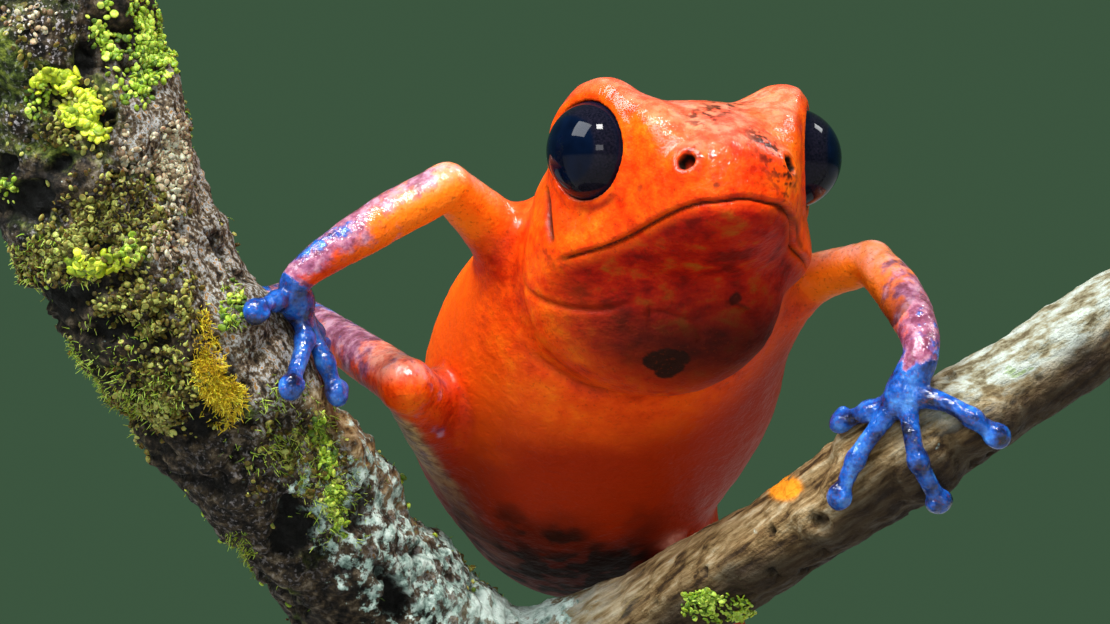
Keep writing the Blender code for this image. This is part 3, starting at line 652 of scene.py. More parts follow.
def keep_largest(verts, quads):
    """Drops loose scraps: keeps the piece of the surface with the most vertices."""
    label = np.arange(len(verts))
    while True:
        lowest = label[quads].min(axis=1)
        new = label.copy()
        for column in range(4):
            np.minimum.at(new, label[quads[:, column]], lowest)
        while (new[new] != new).any():
            new = new[new]
        if (new == label).all():
            break
        label = new
    main = np.bincount(label).argmax()
    kept = label == main
    quads = quads[kept[quads[:, 0]]]
    return verts[kept], (np.cumsum(kept) - 1)[quads]


def relax(verts, quads, passes, weight=0.5):
    """Moves each vertex towards the middle of its neighbours."""
    first = quads.ravel()
    second = np.roll(quads, -1, axis=1).ravel()
    number = np.bincount(first, minlength=len(verts)) + np.bincount(second, minlength=len(verts))
    for _ in range(passes):
        total = np.stack([np.bincount(first, verts[second, i], len(verts))
                          + np.bincount(second, verts[first, i], len(verts))
                          for i in range(3)], axis=1)
        verts = verts + (total / number[:, None] - verts) * weight
    return verts


def net_normals(verts, quads):
    """Outward directions at the vertices of a mesh of quads."""
    a, b, c, d = (verts[quads[:, k]] for k in range(4))
    across = np.cross(c - a, d - b)
    normals = np.stack([sum(np.bincount(quads[:, k], across[:, i], len(verts)) for k in range(4))
                        for i in range(3)], axis=1)
    return normals / np.maximum(np.linalg.norm(normals, axis=1), 1e-12)[:, None]


def settle(field, verts, quads):
    """Evens the net and lays it on the surface again."""
    verts = relax(verts, quads, 2)
    slope = field.slope(verts)
    move = np.clip(field.sample(verts), -field.step, field.step)
    return relax(verts - slope * move[:, None], quads, 1, 0.3)


def make_piece(name, verts, faces, material, masks=None):
    """A mesh object from millimetre points in the pose frame, riding on the one body."""
    mesh = bpy.data.meshes.new(name)
    corners = faces.shape[1]
    mesh.vertices.add(len(verts))
    mesh.vertices.foreach_set("co", ((verts + VIEW_MIDDLE) * 0.001).astype(np.float32).ravel())
    mesh.loops.add(faces.size)
    mesh.loops.foreach_set("vertex_index", faces.astype(np.int32).ravel())
    mesh.polygons.add(len(faces))
    mesh.polygons.foreach_set("loop_start", np.arange(0, faces.size, corners, dtype=np.int32))
    mesh.update(calc_edges=True)
    mesh.validate()
    for key, values in (masks or {}).items():
        layer = mesh.attributes.new(key, "FLOAT", "POINT")
        layer.data.foreach_set("value", np.asarray(values, np.float32))
    mesh.shade_smooth()
    mesh.materials.append(material)
    item = bpy.data.objects.new(name, mesh)
    bpy.context.scene.collection.objects.link(item)
    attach(item, "root")
    return item


# Materials

def node(tree, kind, inputs=(), **settings):
    """Adds a shader node. A value in inputs may be another node's output."""
    item = tree.nodes.new("ShaderNode" + kind)
    for key, value in settings.items():
        setattr(item, key, value)
    for key, value in dict(inputs).items():
        socket = item.inputs[key]
        if isinstance(value, bpy.types.NodeSocket):
            tree.links.new(value, socket)
        else:
            socket.default_value = value
    return item


def mix(tree, factor, a, b, blend="MIX"):
    item = node(tree, "Mix", {0: factor, 6: rgba(a), 7: rgba(b)}, data_type="RGBA",
                blend_type=blend)
    return item.outputs[2]


def rgba(colour):
    if isinstance(colour, bpy.types.NodeSocket):
        return colour
    return (*colour, 1.0)


def sums(tree, operation, *values):
    item = node(tree, "Math", dict(enumerate(values)), operation=operation)
    return item.outputs[0]


def plus(tree, a, b):
    return sums(tree, "ADD", a, b)


def times(tree, a, b):
    return sums(tree, "MULTIPLY", a, b)


def swing(tree, value, amount):
    """Noise shifted to lie about zero and scaled."""
    return times(tree, sums(tree, "SUBTRACT", value, 0.5), amount)


def remap(tree, value, low, high, to_low=0.0, to_high=1.0):
    item = node(tree, "MapRange", {0: value, 1: low, 2: high, 3: to_low, 4: to_high},
                interpolation_type="SMOOTHSTEP")
    return item.outputs[0]


def grain(tree, place, size, detail=3.0, rough=0.55, stretch=None, fibres=None):
    """Noise with features of about the given size in millimetres. They are as many times
    longer along each axis as stretch says, the last of them turned along the fibres."""
    if stretch:
        turn = fibres.to_track_quat("Z", "Y").to_euler() if fibres else (0, 0, 0)
        place = node(tree, "Mapping", {0: place, 2: turn, 3: stretch},
                     vector_type="TEXTURE").outputs[0]
    item = node(tree, "TexNoise", {"Vector": place, "Scale": 1000.0 / size, "Detail": detail,
                                   "Roughness": rough})
    return item.outputs["Fac"]


def stops(tree, value, *pairs):
    """Colours along a value: pairs of a position and a colour."""
    item = node(tree, "ValToRGB", {0: value})
    elements = item.color_ramp.elements
    while len(elements) < len(pairs):
        elements.new(0.5)
    for element, (position, colour) in zip(elements, pairs):
        element.position = position
        element.color = (*colour, 1.0)
    return item.outputs[0]


def attribute(tree, name):
    return node(tree, "Attribute", attribute_name=name).outputs["Fac"]


def new_material(name, **shader):
    """A material with its tree, its shader and the object's own coordinates."""
    material = bpy.data.materials.new(name)
    material.use_nodes = True
    tree = material.node_tree
    principled = tree.nodes["Principled BSDF"]
    for key, value in shader.items():
        principled.inputs[key.replace("_", " ")].default_value = value
    place = node(tree, "TexCoord").outputs["Object"]
    return material, tree, principled, place


def bump(tree, principled, height, distance_mm, strength=1.0):
    item = node(tree, "Bump", {"Height": height, "Distance": distance_mm * 0.001,
                               "Strength": strength})
    tree.links.new(item.outputs[0], principled.inputs["Normal"])


def skin_colour(tree, place, fine, speck, under_mask, dark_marks_and_shade):
    """The skin's colour by its masks, and where it is fully blue."""
    blotch = grain(tree, place, 2.2, 3.0)
    tone = plus(tree, times(tree, blotch, 0.55), times(tree, fine, 0.45))
    back = stops(tree, tone, (0.36, (0.46, 0.014, 0.001)), (0.47, (0.70, 0.046, 0.002)),
                 (0.56, (0.78, 0.082, 0.002)), (0.66, (0.84, 0.150, 0.004)))
    mottle = grain(tree, place, 0.6, 4.0, 0.60, stretch=(1.3, 1.3, 0.8))
    under = stops(tree, mottle, (0.34, (0.150, 0.003, 0.001)), (0.46, (0.30, 0.005, 0.001)),
                  (0.56, (0.40, 0.012, 0.001)), (0.68, (0.33, 0.052, 0.003)))
    base = mix(tree, under_mask, back, under)
    base = mix(tree, attribute(tree, "fire"), base, (0.97, 0.112, 0.004))
    # painted shadow of the head over the chest
    base = mix(tree, attribute(tree, "chest_shadow"), base, (0.26, 0.008, 0.001))
    flank = stops(tree, fine, (0.38, (0.16, 0.075, 0.024)), (0.60, (0.58, 0.36, 0.15)))
    base = mix(tree, attribute(tree, "flank"), base, flank)
    base = mix(tree, attribute(tree, "amber"), base, (0.95, 0.21, 0.008))
    # painted rosy sheen on upward faces, and a painted highlight on the small lump
    sheen = times(tree, attribute(tree, "pink_sheen"), remap(tree, fine, 0.38, 0.62, 0.35, 1.0))
    base = mix(tree, sheen, base, (0.84, 0.34, 0.25))
    blue_tone = grain(tree, place, 0.6, 4.0, 0.65)
    blue = stops(tree, blue_tone, (0.34, (0.004, 0.006, 0.024)), (0.43, (0.008, 0.030, 0.15)),
                 (0.54, (0.008, 0.080, 0.39)), (0.70, (0.06, 0.23, 0.62)))
    blue_mask = attribute(tree, "blue")
    share = plus(tree, blue_mask, swing(tree, grain(tree, place, 1.0, 4.0, 0.65), 1.5))
    edge = remap(tree, share, 0.58, 0.74)
    violet = times(tree, remap(tree, share, 0.18, 0.44), remap(tree, blue_mask, 0.0, 0.08, 0, 0.85))
    mauve = stops(tree, fine, (0.38, (0.070, 0.028, 0.080)), (0.50, (0.21, 0.085, 0.18)),
                  (0.62, (0.40, 0.23, 0.34)))
    base = mix(tree, violet, base, mauve)
    base = mix(tree, edge, base, blue)
    # dark marks, and painted shade in creases, nostrils, low on the throat and on the trunk
    base = mix(tree, dark_marks_and_shade, base, (0.009, 0.005, 0.003))
    stipple = times(tree, remap(tree, speck, 0.58, 0.70), 0.4)
    stipple = times(tree, stipple, remap(tree, attribute(tree, "fire"), 0.0, 0.6, 1.0, 0.1))
    return mix(tree, stipple, base, (0.13, 0.016, 0.003)), edge


def skin_material():
    """Finely grained skin: orange-red, darker under the jaw, wet and blue on the hands."""
    material, tree, principled, place = new_material(
        "skin", Coat_Roughness=0.10, Coat_IOR=1.75, Subsurface_Weight=0.08,
        Subsurface_Scale=0.0004, Specular_IOR_Level=0.06)
    principled.inputs["Subsurface Radius"].default_value = (1.0, 0.2, 0.05)
    under_mask = attribute(tree, "under")
    dark_marks_and_shade = attribute(tree, "dark")
    fine = grain(tree, place, 0.35, 4.0, 0.6)
    speck = grain(tree, place, 0.10, 2.0, 0.6)
    base, edge = skin_colour(tree, place, fine, speck, under_mask, dark_marks_and_shade)
    tree.links.new(base, principled.inputs["Base Color"])
    rough = remap(tree, fine, 0.3, 0.7, 0.36, 0.52)
    rough = plus(tree, rough, times(tree, under_mask, 0.10))
    rough = plus(tree, rough, times(tree, dark_marks_and_shade, 0.25))
    rough = sums(tree, "SUBTRACT", rough, times(tree, edge, 0.16))
    tree.links.new(rough, principled.inputs["Roughness"])
    height = plus(tree, grain(tree, place, 0.13, 2.0, 0.5),
                  times(tree, grain(tree, place, 0.06, 2.0, 0.5), 0.4))
    beads = times(tree, edge, grain(tree, place, 0.22, 1.0, 0.5))
    height = plus(tree, height, times(tree, beads, 1.8))
    fibres = times(tree, under_mask,
                   grain(tree, place, 0.13, 3.0, 0.6, stretch=(2.6, 2.6, 0.8)))
    height = plus(tree, height, times(tree, fibres, 0.6))
    bump(tree, principled, height, 0.028, 1.0)
    ripples = plus(tree, times(tree, fine, 0.5), times(tree, speck, 0.25))
    ripples = plus(tree, ripples, beads)
    wet = node(tree, "Bump", {"Height": ripples, "Distance": 0.00008})
    tree.links.new(wet.outputs[0], principled.inputs["Coat Normal"])
    shine = sums(tree, "MAXIMUM", times(tree, edge, 0.5), attribute(tree, "wet"))
    tree.links.new(shine, principled.inputs["Coat Weight"])
    return material


def eye_material():
    """A black wet eye with a dark blue pupil and a slightly lighter iris round it."""
    material, tree, principled, place = new_material(
        "eye", Roughness=0.05, Coat_Weight=0.0, Specular_IOR_Level=0.11)
    ring = attribute(tree, "iris")
    streak = grain(tree, place, 0.05, 3.0, 0.6)
    iris = stops(tree, streak, (0.35, (0.0020, 0.0025, 0.006)), (0.65, (0.0085, 0.0075, 0.015)))
    pupil = stops(tree, grain(tree, place, 0.9, 2.0), (0.35, (0.0006, 0.0018, 0.007)),
                  (0.65, (0.0014, 0.0055, 0.021)))
    tree.links.new(mix(tree, ring, pupil, iris), principled.inputs["Base Color"])
    return material


def bark_material():
    """Bark from black and mossy to pale and striped, by the masks on the mesh."""
    material, tree, principled, place = new_material("bark", Specular_IOR_Level=0.18)
    big = grain(tree, place, 1.6, 4.0, 0.6)
    small = grain(tree, place, 0.28, 5.0, 0.65)
    speck = grain(tree, place, 0.11, 3.0, 0.6)
    dots = grain(tree, place, 0.34, 4.0, 0.65)
    left_fibre = grain(tree, place, 0.17, 4.0, 0.62, stretch=(1, 1, 3), fibres=LEFT_FIBRES)
    right_fibre = grain(tree, place, 0.21, 4.0, 0.6, stretch=(1, 1, 7), fibres=RIGHT_FIBRES)
    cracks = grain(tree, place, 0.30, 4.0, 0.65, stretch=(1, 1, 2.5), fibres=RIGHT_FIBRES)
    streaks = attribute(tree, "streak")
    dark = stops(tree, small, (0.38, (0.0030, 0.0028, 0.0024)), (0.49, (0.017, 0.012, 0.008)),
                 (0.57, (0.050, 0.034, 0.018)), (0.70, (0.17, 0.135, 0.095)))
    # pale flecks of crust, and painted glints of wet bark
    mottling = times(tree, remap(tree, speck, 0.54, 0.64), attribute(tree, "crust_and_glints"))
    dark = mix(tree, mottling, dark, (0.46, 0.42, 0.44))
    scales = plus(tree, times(tree, left_fibre, 0.5), times(tree, speck, 0.5))
    rind = stops(tree, scales, (0.39, (0.006, 0.005, 0.004)), (0.46, (0.060, 0.038, 0.022)),
                 (0.51, (0.17, 0.125, 0.075)), (0.56, (0.38, 0.41, 0.43)),
                 (0.61, (0.32, 0.16, 0.035)))
    tan = stops(tree, right_fibre, (0.36, (0.036, 0.018, 0.006)), (0.45, (0.14, 0.080, 0.028)),
                (0.55, (0.27, 0.180, 0.082)), (0.66, (0.42, 0.33, 0.20)))
    pale = stops(tree, cracks, (0.37, (0.090, 0.070, 0.035)), (0.45, (0.21, 0.19, 0.12)),
                 (0.53, (0.30, 0.32, 0.27)), (0.62, (0.41, 0.45, 0.41)), (0.70, (0.24, 0.31, 0.16)))
    base = mix(tree, attribute(tree, "edge"), dark, rind)
    # tan bark, and a painted highlight along the left branch's ridge
    base = mix(tree, attribute(tree, "tan"), base, tan)
    base = mix(tree, attribute(tree, "pale"), base, pale)
    moss_share = remap(tree, plus(tree, attribute(tree, "moss"), swing(tree, big, 1.4)), 0.42, 0.62)
    moss = stops(tree, small, (0.36, (0.004, 0.006, 0.001)), (0.50, (0.035, 0.060, 0.004)),
                 (0.64, (0.20, 0.26, 0.018)))
    base = mix(tree, times(tree, moss_share, 0.75), base, moss)
    lichen_mask = attribute(tree, "lichen")
    lichen_share = remap(tree, plus(tree, lichen_mask, swing(tree, dots, 2.6)), 0.46, 0.70)
    lichen_tone = plus(tree, small, remap(tree, lichen_mask, 0.6, 0.9, 0, 0.16))
    lichen = stops(tree, lichen_tone, (0.38, (0.08, 0.13, 0.11)), (0.50, (0.34, 0.47, 0.42)),
                   (0.62, (0.62, 0.75, 0.70)))
    base = mix(tree, lichen_share, base, lichen)
    base = mix(tree, attribute(tree, "rust"), base, (0.85, 0.28, 0.012))
    base = mix(tree, attribute(tree, "shade"), base, (0.014, 0.008, 0.005))
    # painted shade in the hollows
    base = mix(tree, attribute(tree, "hollow_shade"), base, (0.0016, 0.0015, 0.0012))
    tree.links.new(base, principled.inputs["Base Color"])
    tree.links.new(remap(tree, small, 0.35, 0.65, 0.88, 0.55), principled.inputs["Roughness"])
    height = plus(tree, small, times(tree, streaks, 0.4))
    height = plus(tree, height, times(tree, attribute(tree, "tan"), right_fibre))
    height = plus(tree, height, times(tree, speck, 0.3))
    bump(tree, principled, height, 0.11, 1.0)
    return material


def moss_material(name, deep, middle, light, gloss=0.4):
    """Small leaves, each of its own tone, that let some light through."""
    material, tree, principled, place = new_material(
        name, Subsurface_Weight=0.25, Subsurface_Scale=0.0003, Specular_IOR_Level=gloss)
    tone = plus(tree, times(tree, grain(tree, place, 0.8, 4.0, 0.7), 0.6),
                times(tree, attribute(tree, "tone"), 0.4))
    colour = stops(tree, tone, (0.30, deep), (0.5, middle), (0.68, light))
    tree.links.new(colour, principled.inputs["Base Color"])
    tree.links.new(remap(tree, tone, 0.3, 0.7, 0.55, 0.30), principled.inputs["Roughness"])
    bump(tree, principled, grain(tree, place, 0.06, 2.0), 0.02)
    return material


def stand_material():
    """Satin black lacquer with a little unevenness."""
    material, tree, principled, place = new_material("stand", Coat_Weight=0.2)
    tone = grain(tree, place, 3.0, 3.0)
    colour = stops(tree, tone, (0.3, (0.016, 0.016, 0.017)), (0.7, (0.024, 0.024, 0.026)))
    tree.links.new(colour, principled.inputs["Base Color"])
    tree.links.new(remap(tree, grain(tree, place, 0.6, 4.0), 0.3, 0.7, 0.34, 0.46),
                   principled.inputs["Roughness"])
    bump(tree, principled, grain(tree, place, 0.25, 3.0), 0.01, 0.5)
    return material


# The frog

def flesh_nodes():
    """Names of the solids that the skin replaces."""
    return [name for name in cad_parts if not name.startswith(("eye", "perch", "stand"))]


def limb_lines():
    """Middle lines of the limbs down to the palm or sole, and of their digits."""
    lines = {}
    left_branch, right_branch, stem = BRANCHES
    for name, points, palm, branch, fingers in (
            ("arm_right", ARM_RIGHT, PALM_RIGHT, left_branch, FINGERS_RIGHT),
            ("arm_left", ARM_LEFT, PALM_LEFT, right_branch, FINGERS_LEFT)):
        middle = branch_point(branch, *palm, PALM_LIFT)
        lines[name] = (points, middle, digit_lines(middle, branch, fingers))
    for name, points, sole, branch, toes in (
            ("leg_right", (HIP_RIGHT, KNEE_RIGHT, ANKLE_RIGHT), SOLE_RIGHT, left_branch, TOES_RIGHT),
            ("leg_left", (HIP_LEFT, KNEE_LEFT, ANKLE_LEFT), SOLE_LEFT, stem, TOES_LEFT)):
        middle = branch_point(branch, *sole, PALM_LIFT)
        lines[name] = (points, middle, digit_lines(middle, branch, toes))
    return lines


def digit_lines(root, branch, tracks):
    """For each digit its points, and the direction out of the bark at its tip."""
    digits = []
    for track in tracks:
        points = [root] + [branch_point(branch, along, turn, DIGIT_LIFT) for along, turn in track]
        outward = unit(points[-1] - branch_point(branch, *track[-1], 0.0))
        digits.append((points, outward))
    return digits


def frame_of(normal, along):
    """Axes with Z along the normal and X as near as can be to the other direction."""
    x = unit(along - normal * (along @ normal))
    return np.stack([x, np.cross(normal, x), normal], axis=1)


def add_digits(field, digits, size):
    """Fingers or toes with a swelling at the joint and a round disc at the tip."""
    for points, outward in digits:
        count = len(points)
        radii = [size * 1.15] + [size * 0.80] * (count - 2) + [size * 0.68]
        add_chain(field, points, radii, 0.16)
        joint = points[-2] if count > 2 else (points[0] + points[-1]) / 2
        add_ball(field, joint, (size * 0.94,) * 3, 0.12)
        turn = frame_of(outward, points[-1] - points[-2])
        add_ball(field, points[-1] + turn[:, 0] * 0.04, (DISC_RADIUS, DISC_RADIUS * 0.96, size * 0.9),
                 0.10, turn)
        for side in (-1, 1):
            pad = points[-1] + turn[:, 1] * side * 0.13 + outward * size * 0.62 - turn[:, 0] * 0.05
            add_ball(field, pad, (0.17, 0.12, 0.10), 0.06, turn)


def build_skin():
    """The whole skin as one surface."""
    corners = np.array([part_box(name) for name in flesh_nodes()]) * 1000 - VIEW_MIDDLE
    field = Field(corners.min((0, 1)) - 0.5, corners.max((0, 1)) + 0.5, SKIN_STEP)
    add_trunk(field, 0.4)
    lines = limb_lines()
    for name, radii in (("arm_right", ARM_RIGHT_RADII), ("arm_left", ARM_LEFT_RADII)):
        points, palm, digits = lines[name]
        add_chain(field, points[:3], radii[:3], 0.7)
        add_chain(field, points[2:] + [palm], radii[2:] + [radii[-1] * 1.05], 0.12)
        add_digits(field, digits, FINGER_RADIUS)
    for name in ("leg_right", "leg_left"):
        (hip, knee, ankle), sole, digits = lines[name]
        hip, knee, ankle = (np.array(p) for p in (hip, knee, ankle))
        add_chain(field, [hip, (hip + knee) / 2, knee], THIGH_RADII, 0.5)
        add_chain(field, [knee, knee + (ankle - knee) * 0.45, ankle], SHANK_RADII, 0.15)
        add_chain(field, [ankle, (ankle + sole) / 2 + np.array([0, 0.2, 0]), sole],
                  [SHANK_RADII[-1], 0.42, 0.40], 0.15)
        add_digits(field, digits, FINGER_RADIUS)
    head = Field(np.array(HEAD_MIDDLE) - 6.0, np.array(HEAD_MIDDLE) + 6.0, SKIN_STEP)
    head.low = field.low + np.round((head.low - field.low) / SKIN_STEP) * SKIN_STEP
    head.axes = [(head.low[i] + SKIN_STEP * np.arange(head.count[i])).astype(np.float32)
                 for i in range(3)]
    add_head(head)
    paste(field, head, 0.45)
    add_ball(field, photo_points(field, [HIND_LUMP])[0], (0.34, 0.22, 0.30), 0.25)
    verts, quads = surface_net(field)
    verts = settle(field, verts, quads)
    return field, verts, quads, lines


def paste(field, other, soft):
    """Joins a form drawn on its own grid to the main one; the grids share their steps."""
    shift = np.round((other.low - field.low) / field.step).astype(int)
    ours, theirs = [], []
    for i in range(3):
        first = max(shift[i], 0)
        last = min(shift[i] + other.count[i], field.count[i])
        ours.append(slice(first, last))
        theirs.append(slice(first - shift[i], last - shift[i]))
    ours, theirs = tuple(ours), tuple(theirs)
    field.values[ours] = merge(field.values[ours], other.values[theirs], soft)


def head_ball(field, side, form):
    """A swelling of the head, on one side."""
    (ahead, out, up), radii, soft = form
    add_ball(field, on_head(ahead, side * out, up), radii, soft, HEAD_TURN)


def add_head(field):
    """The head with brows, orbits, muzzle, jaw, nape, throat, nostrils and lids."""
    add_skull(field, 0.3)
    for side in (-1, 1):
        eye, _ = eye_place(side)
        head_ball(field, side, BROW)
        inward = HEAD_TURN @ np.array([-0.05, -side * 0.25, -0.05])
        add_ball(field, eye + inward, ORBIT_RADII, 0.35, HEAD_TURN)
        head_ball(field, side, MUZZLE)
        head_ball(field, side, JAW_CORNER)
    add_ball(field, *NAPE)
    throat = Matrix.Rotation(-HEAD_YAW * 0.6, 3, "Z") @ Matrix.Rotation(THROAT_TIP, 3, "X")
    add_ball(field, *THROAT, np.array(throat))
    for side in (-1, 1):
        nostril = nostril_place(side)
        lean = HEAD_TURN @ unit(np.array([1.0, side * 0.9, 0.2]))
        turn = frame_of(lean, np.array([0, 0, 1.0]))
        add_ball(field, nostril + lean * 0.02, (0.30, 0.30, 0.09), 0.30, turn)
        add_ball(field, nostril + lean * 0.10, (0.19, 0.20, 0.36), 0.09, turn, take=True)
        shape_lids(field, side)


def nostril_place(side):
    """Middle of a nostril; side is 1 for the left."""
    return on_head(EYE_TO_SNOUT - NOSTRIL_BACK, side * NOSTRIL_SIDE, -NOSTRIL_DROP)


def mouth_line(left):
    """Height of the mouth above the eye line, by the distance to the frog's left."""
    wave = 0.05 * np.cos(left * 3.4) * np.exp(-(left / 1.1) ** 2)
    return -MOUTH_DROP - MOUTH_BEND * ramp(np.abs(left), 0.9, 2.6) + wave


def photo_points(field, pixels):
    """Places on the skin behind places in the photo."""
    result = []
    depth = np.arange(-4.0, 18.0, 0.03)
    for px, py in pixels:
        x = (px - PHOTO_SIZE[0] / 2) / PIXELS_PER_MM
        z = (PHOTO_SIZE[1] / 2 - py) / PIXELS_PER_MM
        scale = 1 + depth / VIEW_DISTANCE
        ray = np.stack([x * scale, depth, z * scale], axis=1)
        values = field.sample(ray)
        hits = np.nonzero(values < 0)[0]
        if len(hits):
            result.append(ray[hits[0]])
    return np.array(result)


def mouth_relief(ahead, above, from_head):
    """The lips and the jaw's edge, by the height above the mouth's line."""
    front = ramp(ahead, -MOUTH_CORNER_BACK - 0.15, -MOUTH_CORNER_BACK + 0.35)
    near_head = front * (from_head < 4.6)
    groove = np.exp(-(above / 0.05) ** 2)
    jaw = np.where(above < 0, np.exp(above / 0.45), np.exp(-(above / 0.05) ** 2))
    lip = np.exp(-((above - 0.16) / 0.12) ** 2)
    relief = (0.015 * lip - 0.10 * groove - 0.07 * jaw) * near_head
    return relief, 0.97 * np.exp(-((above + 0.01) / 0.040) ** 2) * near_head


def mark_skin(field, verts, relief, dark):
    """Adds the folds, spots, nostrils and scuffs to the relief and the dark stains, with painted
    shade in the folds and the nostrils.
    """
    # the darkness along a fold is painted shade in its crease
    for pixels, width, depth, shade, faded in FOLDS:
        distance, along = nearest_on(smooth_line(photo_points(field, pixels), 4), verts, 1.0)
        mark = np.exp(-(distance / width) ** 2) * ramp(along, 0, faded) * ramp(1 - along, 0, faded)
        relief = relief - depth * mark
        dark = np.maximum(dark, shade * mark)
    for pixel, size, shade in SPOTS:
        distance = np.linalg.norm(verts - photo_points(field, [pixel])[0], axis=1)
        ragged = distance + 0.035 * lattice_noise(verts, 0.16, 5)
        dark = np.maximum(dark, shade * (1 - ramp(ragged, size, size + 0.06)))
    # painted shade inside the nostrils
    for side in (-1, 1):
        distance = np.linalg.norm(verts - nostril_place(side), axis=1)
        ragged = distance + 0.05 * lattice_noise(verts, 0.12, 6)
        dark = np.maximum(dark, 1 - ramp(ragged, 0.19, 0.27))
    for pixels, width, size, seed, shade in SCUFFS:
        distance, _ = nearest_on(photo_points(field, pixels), verts, 2.0)
        flecks = ramp(fractal_noise(verts, size, 2, seed), 0.02, 0.36)
        dark = np.maximum(dark, shade * np.exp(-(distance / width) ** 2) * flecks)
    return relief, dark


def limb_masks(verts, normals, lines):
    """How blue and amber the limbs are, how much painted rosy sheen lies on their upper faces,
    where they are, and how little of the trunk's bright red is left on them."""
    blue, limbs, amber, pink_sheen = (np.zeros(len(verts)) for _ in range(4))
    red_left = np.ones(len(verts))
    for name, (lean, profile) in LIMB_BLUE.items():
        points, palm, digits = lines[name]
        if name.startswith("leg"):
            hip, knee, ankle = (np.array(p) for p in points)
            points = [hip, (hip + knee) / 2, knee, (knee + ankle) / 2, ankle]
        line = np.array([np.array(p) for p in points] + [palm])
        distance, along = nearest_on(line, verts, 1.4)
        on_limb = 1 - ramp(distance, 0.85, 1.35)
        share = np.interp(along, np.linspace(0, 1, len(profile)), profile)
        between_ends = ramp(along, 0.3, 0.5) * ramp(-along, -0.98, -0.85)
        share += 0.14 * (normals @ np.array(lean)) * between_ends
        blue = np.maximum(blue, share * on_limb)
        limbs = np.maximum(limbs, on_limb * ramp(along, 0.04, 0.20))
        # painted sheen on the upward faces of the limbs
        sheen = on_limb * ramp(normals[:, 2], -0.1, 0.7) * 0.95
        if name.startswith("arm"):
            sheen = sheen * ramp(along, 0.15, 0.32) * (1 - 0.75 * ramp(along, 0.45, 0.60))
            upper = ramp(along, 0.13, 0.28) * (1 - ramp(along, 0.5, 0.8))
            amber = np.maximum(amber, 0.85 * on_limb * upper)
        else:
            sheen = sheen * ramp(along, 0.32, 0.44)
        pink_sheen = np.maximum(pink_sheen, sheen)
        red_left = red_left * (1 - 0.8 * limbs)
        for track, _ in digits:
            distance, _ = nearest_on(np.array(track), verts, 1.0)
            blue = np.maximum(blue, 1.1 * (1 - ramp(distance, 0.45, 0.95)))
    return blue, limbs, amber, pink_sheen, red_left


def finish_skin(field, verts, quads, lines):
    """The skin's relief, and the masks that its colours follow."""
    normals = net_normals(verts, quads)
    local = (verts - np.array(HEAD_MIDDLE)) @ HEAD_TURN
    ahead, left, up = local[:, 0], local[:, 1], local[:, 2]
    from_head = np.linalg.norm(local, axis=1)
    above = up - mouth_line(left)
    relief, dark = mouth_relief(ahead, above, from_head)
    relief, dark = mark_skin(field, verts, relief, dark)
    granules = fractal_noise(verts, 0.30, 2, 11)
    relief = relief + 0.012 * granules + 0.012 * lattice_noise(verts, 1.1, 12)
    verts = verts + normals * relief[:, None]

    # Jaw and throat, with painted shade low on the throat; on the trunk the painted shadow
    # of the head on the chest, painted shade low on the belly and at its lower left,
    # and the light brown flank
    px, py = view_pixels(verts)
    under = ramp(-above, 0.0, 0.35) * ramp(ahead, -3.2, -0.6) * (from_head < 6.0)
    # Painted shade: jaw and throat darker towards the bottom of the view
    dark = np.maximum(dark, 0.84 * under * ramp(py, 270, 345))
    wobble = 30 * fractal_noise(verts, 1.2, 3, 14)
    trunk = ramp(verts[:, 1], 5.0, 6.5) * ramp(-normals[:, 1], -0.5, 0.1)
    # Painted shadow of the head: darker right of a slanting line in the view and towards the bottom
    inner = ramp(px + 0.5 * wobble - 0.5 * (py - 290), 470, 570)
    lower = ramp(py + 0.5 * wobble, 385, 470)
    chest_shadow = trunk * np.maximum(inner, lower) * ramp(py, 300, 360) * 0.88
    # Painted shade low on the belly near the fork, mottled
    belly_shade = trunk * ramp(py + wobble * 0.8, 495, 560) * (1 - ramp(px, 640, 680))
    mottling = ramp(fractal_noise(verts, 0.5, 3, 15), -0.5, 0.1)
    dark = np.maximum(dark, belly_shade * (0.70 + 0.27 * mottling))
    flank, _ = nearest_on(photo_points(field, FLANK_LINE), verts, 1.5)
    flank = trunk * ramp(-flank, -0.62, -0.30) * (1 - 0.85 * ramp(py, 430, 540))
    # Painted shade: the trunk darker towards its lower left
    dark = np.maximum(dark, 0.8 * trunk * ramp(py, 440, 540) * (1 - ramp(px, 440, 530)))

    # Painted sheen on the upward faces of the head and the limbs, and a painted highlight on the
    # small lump
    skull = 1 - ramp(from_head, 2.8, 5.0)
    pink_sheen = ramp(normals[:, 2], 0.35, 0.9) * skull * (0.42 + 0.22 * fractal_noise(verts, 0.5, 2, 16))
    from_lump = np.linalg.norm(verts - photo_points(field, [HIND_LUMP])[0], axis=1)
    pink_sheen = np.maximum(pink_sheen, np.exp(-from_lump ** 2 / 0.09) * 0.8)
    blue, limbs, amber, limb_sheen, red_left = limb_masks(verts, normals, lines)
    pink_sheen = np.maximum(pink_sheen, limb_sheen)
    fire = ramp(verts[:, 1], 4.0, 7.5) * 0.85 * red_left

    on_top = ramp(normals[:, 2], 0.0, 0.8)
    wet = 0.03 + 0.55 * on_top * skull + 0.85 * limbs * on_top
    wet = wet * (1 - 0.8 * under) * (1 - belly_shade)
    return verts, {"under": under, "dark": dark, "blue": blue * (from_head > 4.0), "fire": fire,
                   "chest_shadow": chest_shadow, "pink_sheen": pink_sheen, "flank": flank, "wet": wet, "amber": amber}


